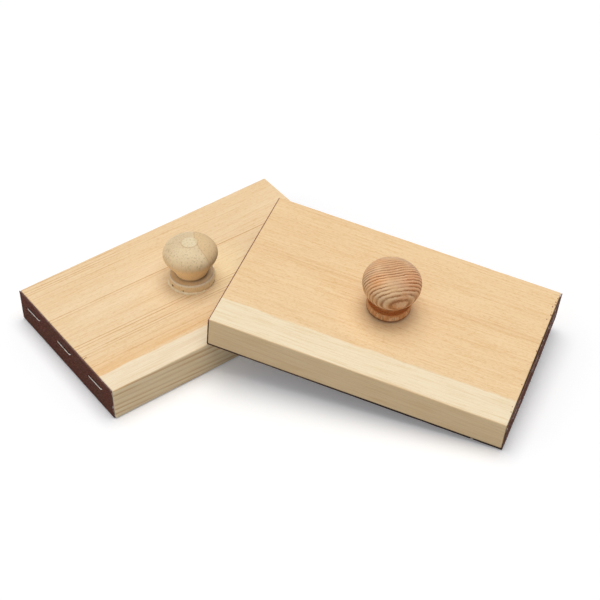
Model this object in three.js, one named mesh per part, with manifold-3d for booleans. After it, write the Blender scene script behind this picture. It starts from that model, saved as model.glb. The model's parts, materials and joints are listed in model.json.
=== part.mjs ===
// A pair of wooden sand blocks. Each block is a planed board with a turned knob screwed on top
// and a sheet of abrasive paper folded under it and stapled to both ends. One block lies flat.
// The other leans on the flat block's front top edge, with one corner on the table.
// Millimetres, +Z up. The origin is the middle of the flat block's abrasive underside,
// +X runs along the flat block and +Y from its front to its back.

import * as THREE from 'three';
import { mergeVertices } from 'three/addons/utils/BufferGeometryUtils.js';
import Module from 'manifold-3d';

const wasm = await Module();
wasm.setup();

// Board
const BOARD_LENGTH = 150;
const BOARD_WIDTH = 90;
const BOARD_THICKNESS = 18;
const BOARD_EDGE_EASE = 0.6;

// Abrasive sheet, folded up over both ends of the board
const SHEET_THICKNESS = 0.65;
const SHEET_CLEARANCE = 0.25;

// Staples, one row in each end, a little nearer to the board's top and to its back
const STAPLE_CROWN = 12.7;
const STAPLE_LEG = 8;
const STAPLE_WIRE = 0.75;
const STAPLE_DROP = 6.6;
const STAPLE_MARGIN = 8.6;
const STAPLE_ROW_SHIFT = 1.6;
const STAPLE_CLEARANCE = 0.3;
const STAPLE_PLACES = ['front', 'middle', 'back'];

// Knob, with the sizes that both knobs share
const KNOB_WAIST_RADIUS = 8.1;
const KNOB_FOOT_HEIGHT = 4.4;
const KNOB_FOOT_TAPER = 1.2;
const KNOB_FOOT_EASE = 1;
const KNOB_GROOVE_DEPTH = 0.7;
const KNOB_FLAT_RADIUS = 4.2;
const KNOB_NECK_FLARE = 0.8;
const KNOB_GLUE_LINE = 0.3;

// Shares of a rise that set how full a curve of the knob is
const NECK_FULLNESS = 0.27;
const BALL_UNDER_FULLNESS = 0.46;
const BALL_CROWN_FULLNESS = 0.52;

// Knob screw, countersunk in the board's underside
const SCREW_GRIP = 14;
const SCREW_RADIUS = 2;
const SCREW_HEAD_RADIUS = 4;
const SCREW_HEAD_RIM = 0.4;
const SCREW_POINT = 5;
const SCREW_SLOT_WIDTH = 1;
const SCREW_SLOT_DEPTH = 1.1;
const SCREW_CLEARANCE = 0.3;

// Lean of the second block: where its left front corner lies along the flat block's front
// edge, measured from the flat block's middle, and the angle between the two lengths
const LEAN_CORNER_X = -21.8;
const LEAN_ANGLE = THREE.MathUtils.degToRad(57.5);
const LEAN_CLEARANCE = 0.3;

// How finely round shapes are cut
const ROUND_SEGMENTS = 36;
const HOLE_SEGMENTS = 24;
const CURVE_SEGMENTS = 6;
const EASE_SEGMENTS = 2;
const MERGE_TOLERANCE = 1e-4;
const CUT_OVERRUN = 1;

// The sizes in which the two hand-turned knobs differ, and how far each sits off the middle
const FLAT_KNOB = {
  offset: -0.9,
  footRadius: 11.9,
  grooveHeight: 0.8,
  ballRadius: 13.9,
  ballRise: 16.6,
  height: 23.9,
  color: 0xd6c3a2,
};
const LEANING_KNOB = {
  offset: 0,
  footRadius: 11,
  grooveHeight: 2.2,
  ballRadius: 14.4,
  ballRise: 17.2,
  height: 25.6,
  color: 0xc4905f,
};

// Heights in a block's own frame, whose origin is the middle of its abrasive underside
const boardBase = SHEET_THICKNESS + SHEET_CLEARANCE;
const boardTop = boardBase + BOARD_THICKNESS;
const outerLength = BOARD_LENGTH + 2 * boardBase;
const knobBase = boardTop + KNOB_GLUE_LINE;
const screwHeadHeight = SCREW_HEAD_RIM + SCREW_HEAD_RADIUS - SCREW_RADIUS;
const screwBase = boardBase + SCREW_CLEARANCE;
const screwLength = knobBase + SCREW_GRIP - screwBase;
const stapleHeight = boardTop - STAPLE_DROP;

const pine = new THREE.MeshStandardMaterial({ color: 0xf0d0a0, roughness: 0.6, metalness: 0 });
const abrasive = new THREE.MeshStandardMaterial({ color: 0x4b2d2a, roughness: 0.95, metalness: 0 });
const wire = new THREE.MeshStandardMaterial({ color: 0xc9c9c6, roughness: 0.35, metalness: 1 });
const screwSteel = new THREE.MeshStandardMaterial({ color: 0xb9b4a2, roughness: 0.4, metalness: 1 });

// Joining and cutting

/** A closed skin of positions alone, with shared corners merged and empty triangles left out. */
function closedSkin(geometry) {
  geometry.deleteAttribute('normal');
  geometry.deleteAttribute('uv');
  const merged = mergeVertices(geometry, MERGE_TOLERANCE);
  const corners = merged.index.array;
  const kept = [];
  for (let i = 0; i < corners.length; i += 3) {
    const [a, b, c] = corners.slice(i, i + 3);
    if (a !== b && b !== c && c !== a) kept.push(a, b, c);
  }
  merged.setIndex(kept);
  return merged;
}

/** The solid inside a closed skin. */
function solidOf(geometry) {
  const skin = closedSkin(geometry);
  return new wasm.Manifold(new wasm.Mesh({
    numProp: 3,
    vertProperties: new Float32Array(skin.attributes.position.array),
    triVerts: new Uint32Array(skin.index.array),
  }));
}

/** The skin of one shape with other shapes cut out of it. */
function cut(geometry, cutters) {
  let solid = solidOf(geometry);
  for (const cutter of cutters) solid = solid.subtract(solidOf(cutter));
  const { vertProperties, triVerts } = solid.getMesh();
  const skin = new THREE.BufferGeometry();
  skin.setAttribute('position', new THREE.BufferAttribute(vertProperties, 3));
  skin.setIndex(new THREE.BufferAttribute(triVerts, 1));
  return skin;
}

/** A named mesh with shading normals. */
function piece(name, geometry, material) {
  geometry.computeVertexNormals();
  const mesh = new THREE.Mesh(geometry, material);
  mesh.name = name;
  return mesh;
}

/** A turned shape about +Z from an outline of radius and height that starts and ends on the axis. */
function turned(outline, segments) {
  const points = outline.getPoints(CURVE_SEGMENTS);
  return closedSkin(new THREE.LatheGeometry(points, segments).rotateX(Math.PI / 2));
}

// Board

/** A rectangle about the origin with round corners. */
function roundedRectangle(length, width, radius) {
  const x = length / 2 - radius;
  const y = width / 2 - radius;
  const shape = new THREE.Shape();
  shape.absarc(x, -y, radius, -Math.PI / 2, 0);
  shape.absarc(x, y, radius, 0, Math.PI / 2);
  shape.absarc(-x, y, radius, Math.PI / 2, Math.PI);
  shape.absarc(-x, -y, radius, Math.PI, Math.PI * 1.5);
  return shape;
}

/** The planed board with eased edges, drilled under its knob and pricked by the staples' legs. */
function board(knobOffset) {
  const plan = roundedRectangle(
    BOARD_LENGTH - 2 * BOARD_EDGE_EASE,
    BOARD_WIDTH - 2 * BOARD_EDGE_EASE,
    BOARD_EDGE_EASE,
  );
  const slab = new THREE.ExtrudeGeometry(plan, {
    depth: BOARD_THICKNESS - 2 * BOARD_EDGE_EASE,
    bevelSize: BOARD_EDGE_EASE,
    bevelThickness: BOARD_EDGE_EASE,
    bevelSegments: EASE_SEGMENTS,
    curveSegments: EASE_SEGMENTS,
  });
  slab.translate(0, 0, boardBase + BOARD_EDGE_EASE);
  return cut(slab, [screwHole().translate(knobOffset, 0, 0), ...stapleLegHoles()]);
}

// Abrasive sheet

/** The sheet's outline along the board: under it and up over both ends, with round folds. */
function sheetOutline() {
  const innerFold = BOARD_EDGE_EASE + 2 * SHEET_CLEARANCE;
  const outerFold = innerFold + SHEET_THICKNESS;
  const foldX = outerLength / 2 - outerFold;
  const inner = outerLength / 2 - SHEET_THICKNESS;
  const shape = new THREE.Shape();
  shape.moveTo(outerLength / 2, boardTop);
  shape.lineTo(inner, boardTop);
  shape.absarc(foldX, outerFold, innerFold, 0, -Math.PI / 2, true);
  shape.absarc(-foldX, outerFold, innerFold, -Math.PI / 2, -Math.PI, true);
  shape.lineTo(-inner, boardTop);
  shape.lineTo(-outerLength / 2, boardTop);
  shape.absarc(-foldX, outerFold, outerFold, -Math.PI, -Math.PI / 2);
  shape.absarc(foldX, outerFold, outerFold, -Math.PI / 2, 0);
  return shape;
}

/** The abrasive sheet, as wide as the board, pricked by the staples' legs. */
function abrasiveSheet() {
  const sheet = new THREE.ExtrudeGeometry(sheetOutline(), {
    depth: BOARD_WIDTH,
    bevelEnabled: false,
    curveSegments: CURVE_SEGMENTS,
  });
  sheet.rotateX(Math.PI / 2).translate(0, BOARD_WIDTH / 2, 0);
  return cut(sheet, stapleLegHoles());
}

// Staples

/** Each staple's end of the block, +1 for the right one, its name and its place across the end. */
function staplePlaces() {
  const gaps = STAPLE_PLACES.length - 1;
  const first = STAPLE_MARGIN + STAPLE_CROWN / 2 - BOARD_WIDTH / 2;
  const places = [];
  for (const [side, end] of [['left', -1], ['right', 1]]) {
    STAPLE_PLACES.forEach((place, i) => {
      const y = STAPLE_ROW_SHIFT + THREE.MathUtils.lerp(first, -first, i / gaps);
      places.push({ name: `staple_${side}_${place}`, end, y });
    });
  }
  return places;
}

/** A staple with a straight crown and two legs with chisel points, its crown's inside at y = 0. */
function staple() {
  const half = STAPLE_CROWN / 2;
  const inside = half - STAPLE_WIRE;
  const shape = new THREE.Shape();
  shape.moveTo(-half, -STAPLE_LEG);
  shape.lineTo(-inside, STAPLE_WIRE - STAPLE_LEG);
  shape.lineTo(-inside, 0);
  shape.lineTo(inside, 0);
  shape.lineTo(inside, STAPLE_WIRE - STAPLE_LEG);
  shape.lineTo(half, -STAPLE_LEG);
  shape.lineTo(half, 0);
  shape.quadraticCurveTo(half, STAPLE_WIRE, inside, STAPLE_WIRE);
  shape.lineTo(-inside, STAPLE_WIRE);
  shape.quadraticCurveTo(-half, STAPLE_WIRE, -half, 0);
  const bent = new THREE.ExtrudeGeometry(shape, {
    depth: STAPLE_WIRE,
    bevelEnabled: false,
    curveSegments: CURVE_SEGMENTS / 2,
  });
  return closedSkin(bent.translate(0, 0, -STAPLE_WIRE / 2));
}

/** The holes that the legs of all the staples make in the sheet and the board. */
function stapleLegHoles() {
  const width = STAPLE_WIRE + 2 * STAPLE_CLEARANCE;
  const legX = (STAPLE_CROWN - STAPLE_WIRE) / 2;
  const mouth = outerLength / 2 + STAPLE_CLEARANCE + CUT_OVERRUN;
  const bottom = outerLength / 2 - STAPLE_LEG;
  const holes = [];
  for (const { end, y } of staplePlaces()) {
    for (const leg of [-legX, legX]) {
      const hole = new THREE.BoxGeometry(mouth - bottom, width, width);
      holes.push(hole.translate(end * (mouth + bottom) / 2, y + leg, stapleHeight));
    }
  }
  return holes;
}

// Knob and its screw

/** A turned knob about +Z: base flange, groove, flared neck and flattened ball, bored for its screw. */
function knob({ footRadius, grooveHeight, ballRadius, ballRise, height }) {
  const boreRadius = SCREW_RADIUS + SCREW_CLEARANCE;
  const boreDepth = SCREW_GRIP + SCREW_CLEARANCE;
  const waistHeight = KNOB_FOOT_HEIGHT + grooveHeight;
  const underRise = ballRise - waistHeight;
  const crownRise = height - ballRise;
  const shoulder = footRadius - KNOB_FOOT_TAPER;
  const outline = new THREE.Path();
  outline.moveTo(0, boreDepth);
  outline.lineTo(boreRadius, boreDepth);
  outline.lineTo(boreRadius, 0);
  outline.lineTo(footRadius - KNOB_FOOT_EASE, 0);
  outline.quadraticCurveTo(footRadius, 0, footRadius, KNOB_FOOT_EASE);
  outline.quadraticCurveTo(footRadius, KNOB_FOOT_HEIGHT, shoulder, KNOB_FOOT_HEIGHT);
  outline.lineTo(KNOB_WAIST_RADIUS, KNOB_FOOT_HEIGHT);
  outline.quadraticCurveTo(
    KNOB_WAIST_RADIUS - 2 * KNOB_GROOVE_DEPTH, KNOB_FOOT_HEIGHT + grooveHeight / 2,
    KNOB_WAIST_RADIUS, waistHeight,
  );
  outline.bezierCurveTo(
    KNOB_WAIST_RADIUS + KNOB_NECK_FLARE, waistHeight + NECK_FULLNESS * underRise,
    ballRadius, ballRise - BALL_UNDER_FULLNESS * underRise,
    ballRadius, ballRise,
  );
  outline.bezierCurveTo(
    ballRadius, ballRise + BALL_CROWN_FULLNESS * crownRise,
    THREE.MathUtils.lerp(KNOB_FLAT_RADIUS, ballRadius, BALL_CROWN_FULLNESS), height,
    KNOB_FLAT_RADIUS, height,
  );
  outline.lineTo(0, height);
  return turned(outline, ROUND_SEGMENTS);
}

/** The outline of the screw's head and shank, grown by a clearance, up to the given height. */
function screwOutline(clearance, start, end) {
  const outline = new THREE.Path();
  outline.moveTo(0, start);
  outline.lineTo(SCREW_HEAD_RADIUS + clearance, start);
  outline.lineTo(SCREW_HEAD_RADIUS + clearance, SCREW_HEAD_RIM);
  outline.lineTo(SCREW_RADIUS + clearance, screwHeadHeight);
  outline.lineTo(SCREW_RADIUS + clearance, end);
  return outline;
}

/** The hole that a screw with its countersunk head needs in the board. */
function screwHole() {
  const start = boardBase - screwBase - CUT_OVERRUN;
  const end = boardTop - screwBase + CUT_OVERRUN;
  const outline = screwOutline(SCREW_CLEARANCE, start, end);
  outline.lineTo(0, end);
  return turned(outline, HOLE_SEGMENTS).translate(0, 0, screwBase);
}

/** A countersunk wood screw about +Z with a slotted head at the bottom and a point at the top. */
function knobScrew() {
  const outline = screwOutline(0, 0, screwLength - SCREW_POINT);
  outline.lineTo(0, screwLength);
  const slot = new THREE.BoxGeometry(
    2 * SCREW_HEAD_RADIUS + CUT_OVERRUN,
    SCREW_SLOT_WIDTH,
    2 * SCREW_SLOT_DEPTH,
  );
  return cut(turned(outline, HOLE_SEGMENTS), [slot]);
}

// Assembly

/** One block about the middle of its abrasive underside. */
function block(name, knobSizes) {
  const { offset, color } = knobSizes;
  const knobWood = new THREE.MeshStandardMaterial({ color, roughness: 0.7, metalness: 0 });
  const group = new THREE.Group();
  group.add(piece(`${name}_board`, board(offset), pine));
  group.add(piece(`${name}_abrasive_sheet`, abrasiveSheet(), abrasive));

  const turnedKnob = piece(`${name}_knob`, knob(knobSizes), knobWood);
  turnedKnob.position.set(offset, 0, knobBase);
  const screw = piece(`${name}_knob_screw`, knobScrew(), screwSteel);
  screw.position.set(offset, 0, screwBase);
  group.add(turnedKnob, screw);

  for (const place of staplePlaces()) {
    const mesh = piece(`${name}_${place.name}`, staple(), wire);
    const face = outerLength / 2 + STAPLE_CLEARANCE;
    mesh.position.set(place.end * face, place.y, stapleHeight);
    mesh.rotation.z = -place.end * Math.PI / 2;
    group.add(mesh);
  }
  return group;
}

/** The second block, laid on the flat block's front top edge with its far corner on the table. */
function leaningBlock() {
  const corner = block('leaning', LEANING_KNOB);
  corner.position.set(outerLength / 2, BOARD_WIDTH / 2, 0);

  const turn = new THREE.Group();
  turn.rotation.z = -LEAN_ANGLE;
  turn.add(corner);

  const rest = boardTop + LEAN_CLEARANCE;
  const lean = new THREE.Group();
  lean.position.set(LEAN_CORNER_X, -BOARD_WIDTH / 2, rest);
  lean.rotation.x = Math.asin(rest / (outerLength * Math.sin(LEAN_ANGLE)));
  lean.add(turn);
  return lean;
}

const sandBlocks = new THREE.Group();
sandBlocks.add(block('flat', FLAT_KNOB), leaningBlock());

export default sandBlocks;
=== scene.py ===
"""The looks of a pair of wooden sand blocks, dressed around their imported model.

Each block is a pine board with a turned knob on top and a sheet of abrasive paper folded under it
and stapled to both ends. One block lies flat, and the other leans on its front top edge with one
corner on the table. Lengths are in metres. Patterns of wood and paper are in millimetres of a
block's own frame, whose origin is the middle of its abrasive underside, with +X along the board,
+Y from its front to its back and +Z up. A knob's own frame has its origin at the knob's foot.
"""

import json
import logging
import math
from dataclasses import dataclass, field
from enum import Enum
from functools import reduce
from typing import Optional, Sequence, Union

import bmesh
import bpy
import numpy as np
from mathutils import Color as ScreenColor
from mathutils import Matrix, Vector, noise

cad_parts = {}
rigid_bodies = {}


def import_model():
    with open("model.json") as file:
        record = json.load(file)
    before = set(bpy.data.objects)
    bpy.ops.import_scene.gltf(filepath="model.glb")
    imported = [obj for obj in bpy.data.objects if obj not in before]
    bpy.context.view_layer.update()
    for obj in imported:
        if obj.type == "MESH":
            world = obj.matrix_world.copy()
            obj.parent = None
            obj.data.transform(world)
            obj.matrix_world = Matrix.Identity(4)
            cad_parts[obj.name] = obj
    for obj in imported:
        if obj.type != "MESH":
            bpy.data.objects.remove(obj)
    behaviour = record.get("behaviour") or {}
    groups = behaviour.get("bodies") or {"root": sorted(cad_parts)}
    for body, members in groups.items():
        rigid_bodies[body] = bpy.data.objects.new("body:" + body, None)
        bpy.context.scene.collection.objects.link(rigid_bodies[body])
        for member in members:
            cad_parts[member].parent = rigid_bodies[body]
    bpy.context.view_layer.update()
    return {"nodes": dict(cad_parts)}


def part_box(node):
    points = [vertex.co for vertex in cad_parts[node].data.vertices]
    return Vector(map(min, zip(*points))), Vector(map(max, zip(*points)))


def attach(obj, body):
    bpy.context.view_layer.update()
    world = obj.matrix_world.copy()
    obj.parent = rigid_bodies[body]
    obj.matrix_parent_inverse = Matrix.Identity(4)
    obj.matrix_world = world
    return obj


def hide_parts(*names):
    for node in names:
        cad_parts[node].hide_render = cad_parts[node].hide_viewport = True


MM = 0.001
SMOOTH_ANGLE = math.radians(35)
MERGE_DISTANCE = 1e-7
SCREEN_WHITE = 255
LEVEL = (1.0, 1.0, 0.0)

Color = tuple[float, float, float, float]
Triple = tuple[float, float, float]
Pair = tuple[float, float]
Faces = list[tuple[int, ...]]
Box = tuple[Vector, Vector]
Socket = bpy.types.NodeSocket
Value = Union[float, Socket]
Inputs = Optional[dict[Union[str, int], object]]

log = logging.getLogger("sand_blocks")


# Options

class Block(Enum):
    """The two blocks of the pair. The value starts the names of a block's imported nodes."""

    FLAT = "flat"
    LEANING = "leaning"

    @property
    def body(self) -> str:
        """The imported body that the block's pieces ride on."""
        return f"{self.value}_block"


class End(Enum):
    """The two ends of a block, by the way that they face along its length."""

    LEFT = -1
    RIGHT = 1


class Across(Enum):
    """The places of an end's three staples, in order from the front."""

    FRONT = "front"
    MIDDLE = "middle"
    BACK = "back"


# Meshes

def rgb(red: int, green: int, blue: int) -> Color:
    """Turns a screen's colour, in parts from 0 to 255, into the linear one that a shader takes."""
    screen = ScreenColor([part / SCREEN_WHITE for part in (red, green, blue)])
    return (*screen.from_srgb_to_scene_linear(), 1.0)


def add_object(name: str, data: bpy.types.ID) -> bpy.types.Object:
    """Puts a mesh, a lamp or a camera into the scene as an object at the origin.

    Args:
        name: The object's name.
        data: What it shows.

    Returns:
        The new object.
    """
    piece = bpy.data.objects.new(name, data)
    bpy.context.scene.collection.objects.link(piece)
    return piece


def new_mesh(name: str, points: np.ndarray, faces: Sequence[Sequence[int]]) -> bpy.types.Mesh:
    """Makes a mesh as it is given.

    Args:
        name: The mesh's name.
        points: One row for each corner.
        faces: The corners of each face, by number.

    Returns:
        The new mesh.
    """
    mesh = bpy.data.meshes.new(name)
    mesh.from_pydata(np.asarray(points).tolist(), [], faces)
    return mesh


def closed_mesh(
    name: str, points: np.ndarray, faces: Sequence[Sequence[int]], merge: bool = True
) -> bpy.types.Mesh:
    """Makes a closed mesh whose faces point outwards.

    Args:
        name: The mesh's name.
        points: One row for each corner.
        faces: The corners of each face, by number.
        merge: Whether its seams are merged first.

    Returns:
        The new mesh.
    """
    mesh = new_mesh(name, points, faces)
    work = bmesh.new()
    work.from_mesh(mesh)
    if merge:
        bmesh.ops.remove_doubles(work, verts=work.verts, dist=MERGE_DISTANCE)
        bmesh.ops.dissolve_degenerate(work, edges=work.edges, dist=MERGE_DISTANCE)
    bmesh.ops.recalc_face_normals(work, faces=work.faces)
    work.to_mesh(mesh)
    work.free()
    return mesh


def smooth(mesh: bpy.types.Mesh) -> None:
    """Shades a mesh smooth, apart from its sharp edges."""
    mesh.shade_smooth()
    mesh.set_sharp_from_angle(angle=SMOOTH_ANGLE)


def freeze(piece: bpy.types.Object) -> None:
    """Turns a piece's modifiers into plain mesh and takes them off.

    Args:
        piece: The piece.
    """
    evaluated = piece.evaluated_get(bpy.context.evaluated_depsgraph_get())
    made = bpy.data.meshes.new_from_object(evaluated)
    piece.modifiers.clear()
    piece.data = made


def lathe(outline: np.ndarray, segments: int) -> tuple[np.ndarray, Faces]:
    """Turns an outline round the Z axis.

    Args:
        outline: Rows of radius and height that start and end on the axis.
        segments: How many steps go round.

    Returns:
        The points and the faces of the turned shape.
    """
    angles = np.arange(segments) * math.tau / segments
    radius, height = outline[:, 0, None], outline[:, 1, None]
    level = np.repeat(height, segments, axis=1)
    rings = np.stack([radius * np.cos(angles), radius * np.sin(angles), level], axis=-1)
    faces = []
    for i in range(len(outline) - 1):
        for j in range(segments):
            near, far = i * segments, (i + 1) * segments
            k = (j + 1) % segments
            faces.append((near + j, near + k, far + k, far + j))
    return rings.reshape(-1, 3), faces


def bezier(*corners: Pair, steps: int) -> np.ndarray:
    """Points on a Bezier curve, without its first one.

    Args:
        corners: The curve's start, its handles and its end.
        steps: How many points to give.

    Returns:
        One row of two coordinates for each point.
    """
    share = np.linspace(0, 1, steps + 1)[1:, None]
    rows = [np.repeat(np.array([corner], float), steps, axis=0) for corner in corners]
    while len(rows) > 1:
        rows = [a + (b - a) * share for a, b in zip(rows, rows[1:])]
    return rows[0]


def box_shape(low: Vector, high: Vector) -> tuple[np.ndarray, Faces]:
    """The points and faces of a plain box.

    Args:
        low: Its lowest corner.
        high: Its highest corner.

    Returns:
        The points and the faces.
    """
    ends = (low, high)
    points = [(ends[i].x, ends[j].y, ends[k].z) for i in (0, 1) for j in (0, 1) for k in (0, 1)]
    faces = [(0, 1, 3, 2), (4, 6, 7, 5), (0, 4, 5, 1), (2, 3, 7, 6), (0, 2, 6, 4), (1, 5, 7, 3)]
    return np.array(points), faces


def wave(place: Sequence[float], seed: float) -> float:
    """A smooth value from -1 to 1 that wanders from place to place, one of many by its seed."""
    return noise.noise(Vector((*place, 0.0, 0.0)[:3]) + Vector((seed, -seed, seed / 2)))


# Node trees

# Numbers of sockets whose names repeat: of a Mix node for colours, a Random Value node for plain
# numbers, and a Compare node for whole numbers
MIX_SHARE, MIX_BELOW, MIX_ABOVE, MIX_RESULT = 0, 6, 7, 2
RANDOM_LOW, RANDOM_HIGH, RANDOM_RESULT = 2, 3, 1
COMPARED = (2, 3)


@dataclass(frozen=True)
class Cloud:
    """A cloudy pattern from 0 to 1 over a piece's own frame.

    stretch is how many clouds lie in a millimetre along each axis, detail how many finer layers
    they have, and rough how strong those are. shift moves to another part of the pattern. A step
    sharpens it between two limits, and a span is what its 0 and 1 turn into.
    """

    stretch: Triple
    detail: float = 2
    rough: float = 0.5
    shift: float = 0
    step: Optional[Pair] = None
    span: Optional[Pair] = None

    @classmethod
    def even(cls, size: float, **others: object) -> "Cloud":
        """A pattern that is alike along all three axes."""
        return cls((size, size, size), **others)


class Graph:
    """Adds nodes to a node tree and links them."""

    def __init__(self, tree: bpy.types.NodeTree) -> None:
        """Starts on a tree."""
        self.tree = tree

    def feed(self, socket: Socket, value: object) -> None:
        """Links a socket into an input, or sets the input to a plain value.

        Args:
            socket: The input.
            value: What goes into it.
        """
        if isinstance(value, bpy.types.NodeSocket):
            self.tree.links.new(value, socket)
        else:
            socket.default_value = value

    def node(self, kind: str, inputs: Inputs = None, **settings: object) -> bpy.types.Node:
        """Adds a node.

        Args:
            kind: Blender's name for the node.
            inputs: What goes into its inputs, by name or number.
            settings: The node's own settings.

        Returns:
            The new node.
        """
        made = self.tree.nodes.new(kind)
        for setting, value in settings.items():
            setattr(made, setting, value)
        for key, value in (inputs or {}).items():
            self.feed(made.inputs[key], value)
        return made

    def out(self, kind: str, inputs: Inputs = None, **settings: object) -> Socket:
        """Adds a node in the same way, and gives its first output."""
        return self.node(kind, inputs, **settings).outputs[0]

    def number(self, operation: str, *values: Value) -> Socket:
        """Works out a number from others, by Blender's name for the sum."""
        return self.out("ShaderNodeMath", dict(enumerate(values)), operation=operation)

    def times(self, *values: Value) -> Value:
        """Multiplies some numbers."""
        return reduce(lambda one, other: self.number("MULTIPLY", one, other), values)

    def plus(self, *values: Value) -> Value:
        """Adds up some numbers."""
        return reduce(lambda one, other: self.number("ADD", one, other), values)

    def minus(self, first: Value, second: Value) -> Socket:
        """Takes the second number from the first."""
        return self.number("SUBTRACT", first, second)

    def rise(self, value: Value, start: Value, end: Value) -> Socket:
        """A smooth step from 0, where the value is at the start, to 1, where it is at the end."""
        inputs = {"Value": value, "From Min": start, "From Max": end}
        return self.out("ShaderNodeMapRange", inputs, interpolation_type="SMOOTHSTEP")

    def band(self, value: Value, up: Pair, down: Pair) -> Value:
        """A smooth step up and another one down again, each with its start and end."""
        return self.times(self.rise(value, *up), self.rise(value, *down))

    def between(self, value: Value, low: float, high: float) -> Socket:
        """A straight run from low, where the value is 0, to high, where it is 1."""
        return self.number("MULTIPLY_ADD", value, high - low, low)

    def vector(self, operation: str, *values: object) -> Socket:
        """Works out a vector, or the number that the sum gives, from other vectors."""
        node = self.node("ShaderNodeVectorMath", dict(enumerate(values)), operation=operation)
        return node.outputs["Value" if operation in ("DOT_PRODUCT", "LENGTH") else "Vector"]

    def parts(self, vector: Socket) -> tuple[Socket, Socket, Socket]:
        """The three parts of a vector."""
        return tuple(self.node("ShaderNodeSeparateXYZ", {0: vector}).outputs)


class Surface(Graph):
    """A material made of nodes around one principled shader."""

    def __init__(self, name: str, place: Matrix) -> None:
        """Starts a material.

        Args:
            name: The material's name.
            place: Where the dressed piece's own frame lies.
        """
        self.material = bpy.data.materials.new(name)
        self.material.use_nodes = True
        super().__init__(self.material.node_tree)
        self.shader = self.tree.nodes["Principled BSDF"]
        mapping = {
            "Vector": self.node("ShaderNodeTexCoord").outputs["Object"],
            "Location": place.translation,
            "Rotation": place.to_euler(),
            "Scale": (MM, MM, MM),
        }
        self.own = self.out("ShaderNodeMapping", mapping, vector_type="TEXTURE")

    def set(self, **inputs: object) -> None:
        """Feeds the shader's inputs, named with _ in place of spaces."""
        for name, value in inputs.items():
            self.feed(self.shader.inputs[name.replace("_", " ")], value)

    def speckle(self, cloud: Cloud, seed: float = 0) -> Socket:
        """Lays a cloudy pattern over the piece's own frame.

        Args:
            cloud: The pattern.
            seed: Moves to another part of it once more.

        Returns:
            The pattern's socket.
        """
        shift = cloud.shift + seed
        place = self.vector("MULTIPLY_ADD", self.own, cloud.stretch, (shift, shift, shift))
        inputs = {"Vector": place, "Scale": 1.0, "Detail": cloud.detail, "Roughness": cloud.rough}
        pattern = self.out("ShaderNodeTexNoise", inputs)
        if cloud.step:
            pattern = self.rise(pattern, *cloud.step)
        return self.between(pattern, *cloud.span) if cloud.span else pattern

    def line_noise(self, value: Value, detail: float = 1) -> Socket:
        """A cloudy pattern from 0 to 1 along one number."""
        inputs = {"W": value, "Scale": 1.0, "Detail": detail}
        return self.out("ShaderNodeTexNoise", inputs, noise_dimensions="1D")

    def layers(self, depth: Value) -> tuple[Socket, Socket, Socket]:
        """Cuts a depth into layers that are one deep.

        Args:
            depth: How deep a point lies.

        Returns:
            How far through its layer the point lies, the layer's number, and a random number from
            0 to 1 of the layer's own.
        """
        count = self.number("FLOOR", depth)
        own = self.node("ShaderNodeTexWhiteNoise", {"W": count}, noise_dimensions="1D")
        return self.number("FRACT", depth), count, own.outputs["Value"]

    def blend(self, below: object, above: object, *shares: Value, mode: str = "MIX") -> Socket:
        """Lays one colour over another, by the product of some shares from 0 to 1."""
        inputs = {MIX_SHARE: self.times(*shares), MIX_BELOW: below, MIX_ABOVE: above}
        return self.node("ShaderNodeMix", inputs, data_type="RGBA", blend_type=mode).outputs[MIX_RESULT]

    def coats(self, below: object, *coats: tuple[object, ...], mode: str = "MIX") -> Socket:
        """Lays coats over a colour in order, each of them a colour and its shares."""
        return reduce(lambda under, coat: self.blend(under, *coat, mode=mode), coats, below)

    def spot(self, place: Triple, inner: float, outer: float) -> Socket:
        """A round patch of the own frame: 1 within the inner radius and 0 outside the outer one."""
        away = self.vector("LENGTH", self.vector("SUBTRACT", self.own, place))
        return self.rise(away, outer, inner)

    def bump(self, height: Socket, depth: float, strength: float) -> None:
        """Gives the surface a fine relief, by its height from 0 to 1 and how deep and strong it is."""
        inputs = {"Height": height, "Distance": depth, "Strength": strength}
        self.set(Normal=self.out("ShaderNodeBump", inputs))


class Shaper(Graph):
    """A geometry node tree with named inputs."""

    def __init__(self, name: str) -> None:
        """Starts a tree that takes a mesh and gives one back.

        Args:
            name: The tree's name.
        """
        super().__init__(bpy.data.node_groups.new(name, "GeometryNodeTree"))
        for way in ("INPUT", "OUTPUT"):
            self.tree.interface.new_socket("Mesh", in_out=way, socket_type="NodeSocketGeometry")
        self.entry = self.node("NodeGroupInput")
        self.exit = self.node("NodeGroupOutput")

    def input(self, name: str, kind: str = "Float") -> Socket:
        """Adds a named input of a kind, as in the name of Blender's socket, and gives its socket."""
        self.tree.interface.new_socket(name, in_out="INPUT", socket_type=f"NodeSocket{kind}")
        return self.entry.outputs[name]

    def random(self, low: Value, high: Value, seed: Socket) -> Socket:
        """A number of each point's own between two limits."""
        inputs = {RANDOM_LOW: low, RANDOM_HIGH: high, "Seed": seed}
        node = self.node("FunctionNodeRandomValue", inputs, data_type="FLOAT")
        return node.outputs[RANDOM_RESULT]

    def end(self, geometry: Socket, material: Optional[Socket] = None) -> None:
        """Makes the result real, dresses it and gives it back.

        Args:
            geometry: What the tree has made.
            material: What to dress it in, where it isn't dressed yet.
        """
        made = self.out("GeometryNodeRealizeInstances", {"Geometry": geometry})
        if material is not None:
            made = self.out("GeometryNodeSetMaterial", {"Geometry": made, "Material": material})
        self.feed(self.exit.inputs["Mesh"], made)

    def shape(self, piece: bpy.types.Object, values: dict[str, object]) -> None:
        """Runs the tree on a piece and leaves it a plain mesh.

        Args:
            piece: The piece, whose mesh goes in.
            values: What to set the named inputs to.
        """
        modifier = piece.modifiers.new(self.tree.name, "NODES")
        modifier.node_group = self.tree
        for item in self.tree.interface.items_tree:
            if item.in_out == "INPUT" and item.name in values:
                modifier[item.identifier] = values[item.name]
        freeze(piece)


# Sizes and places

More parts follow.
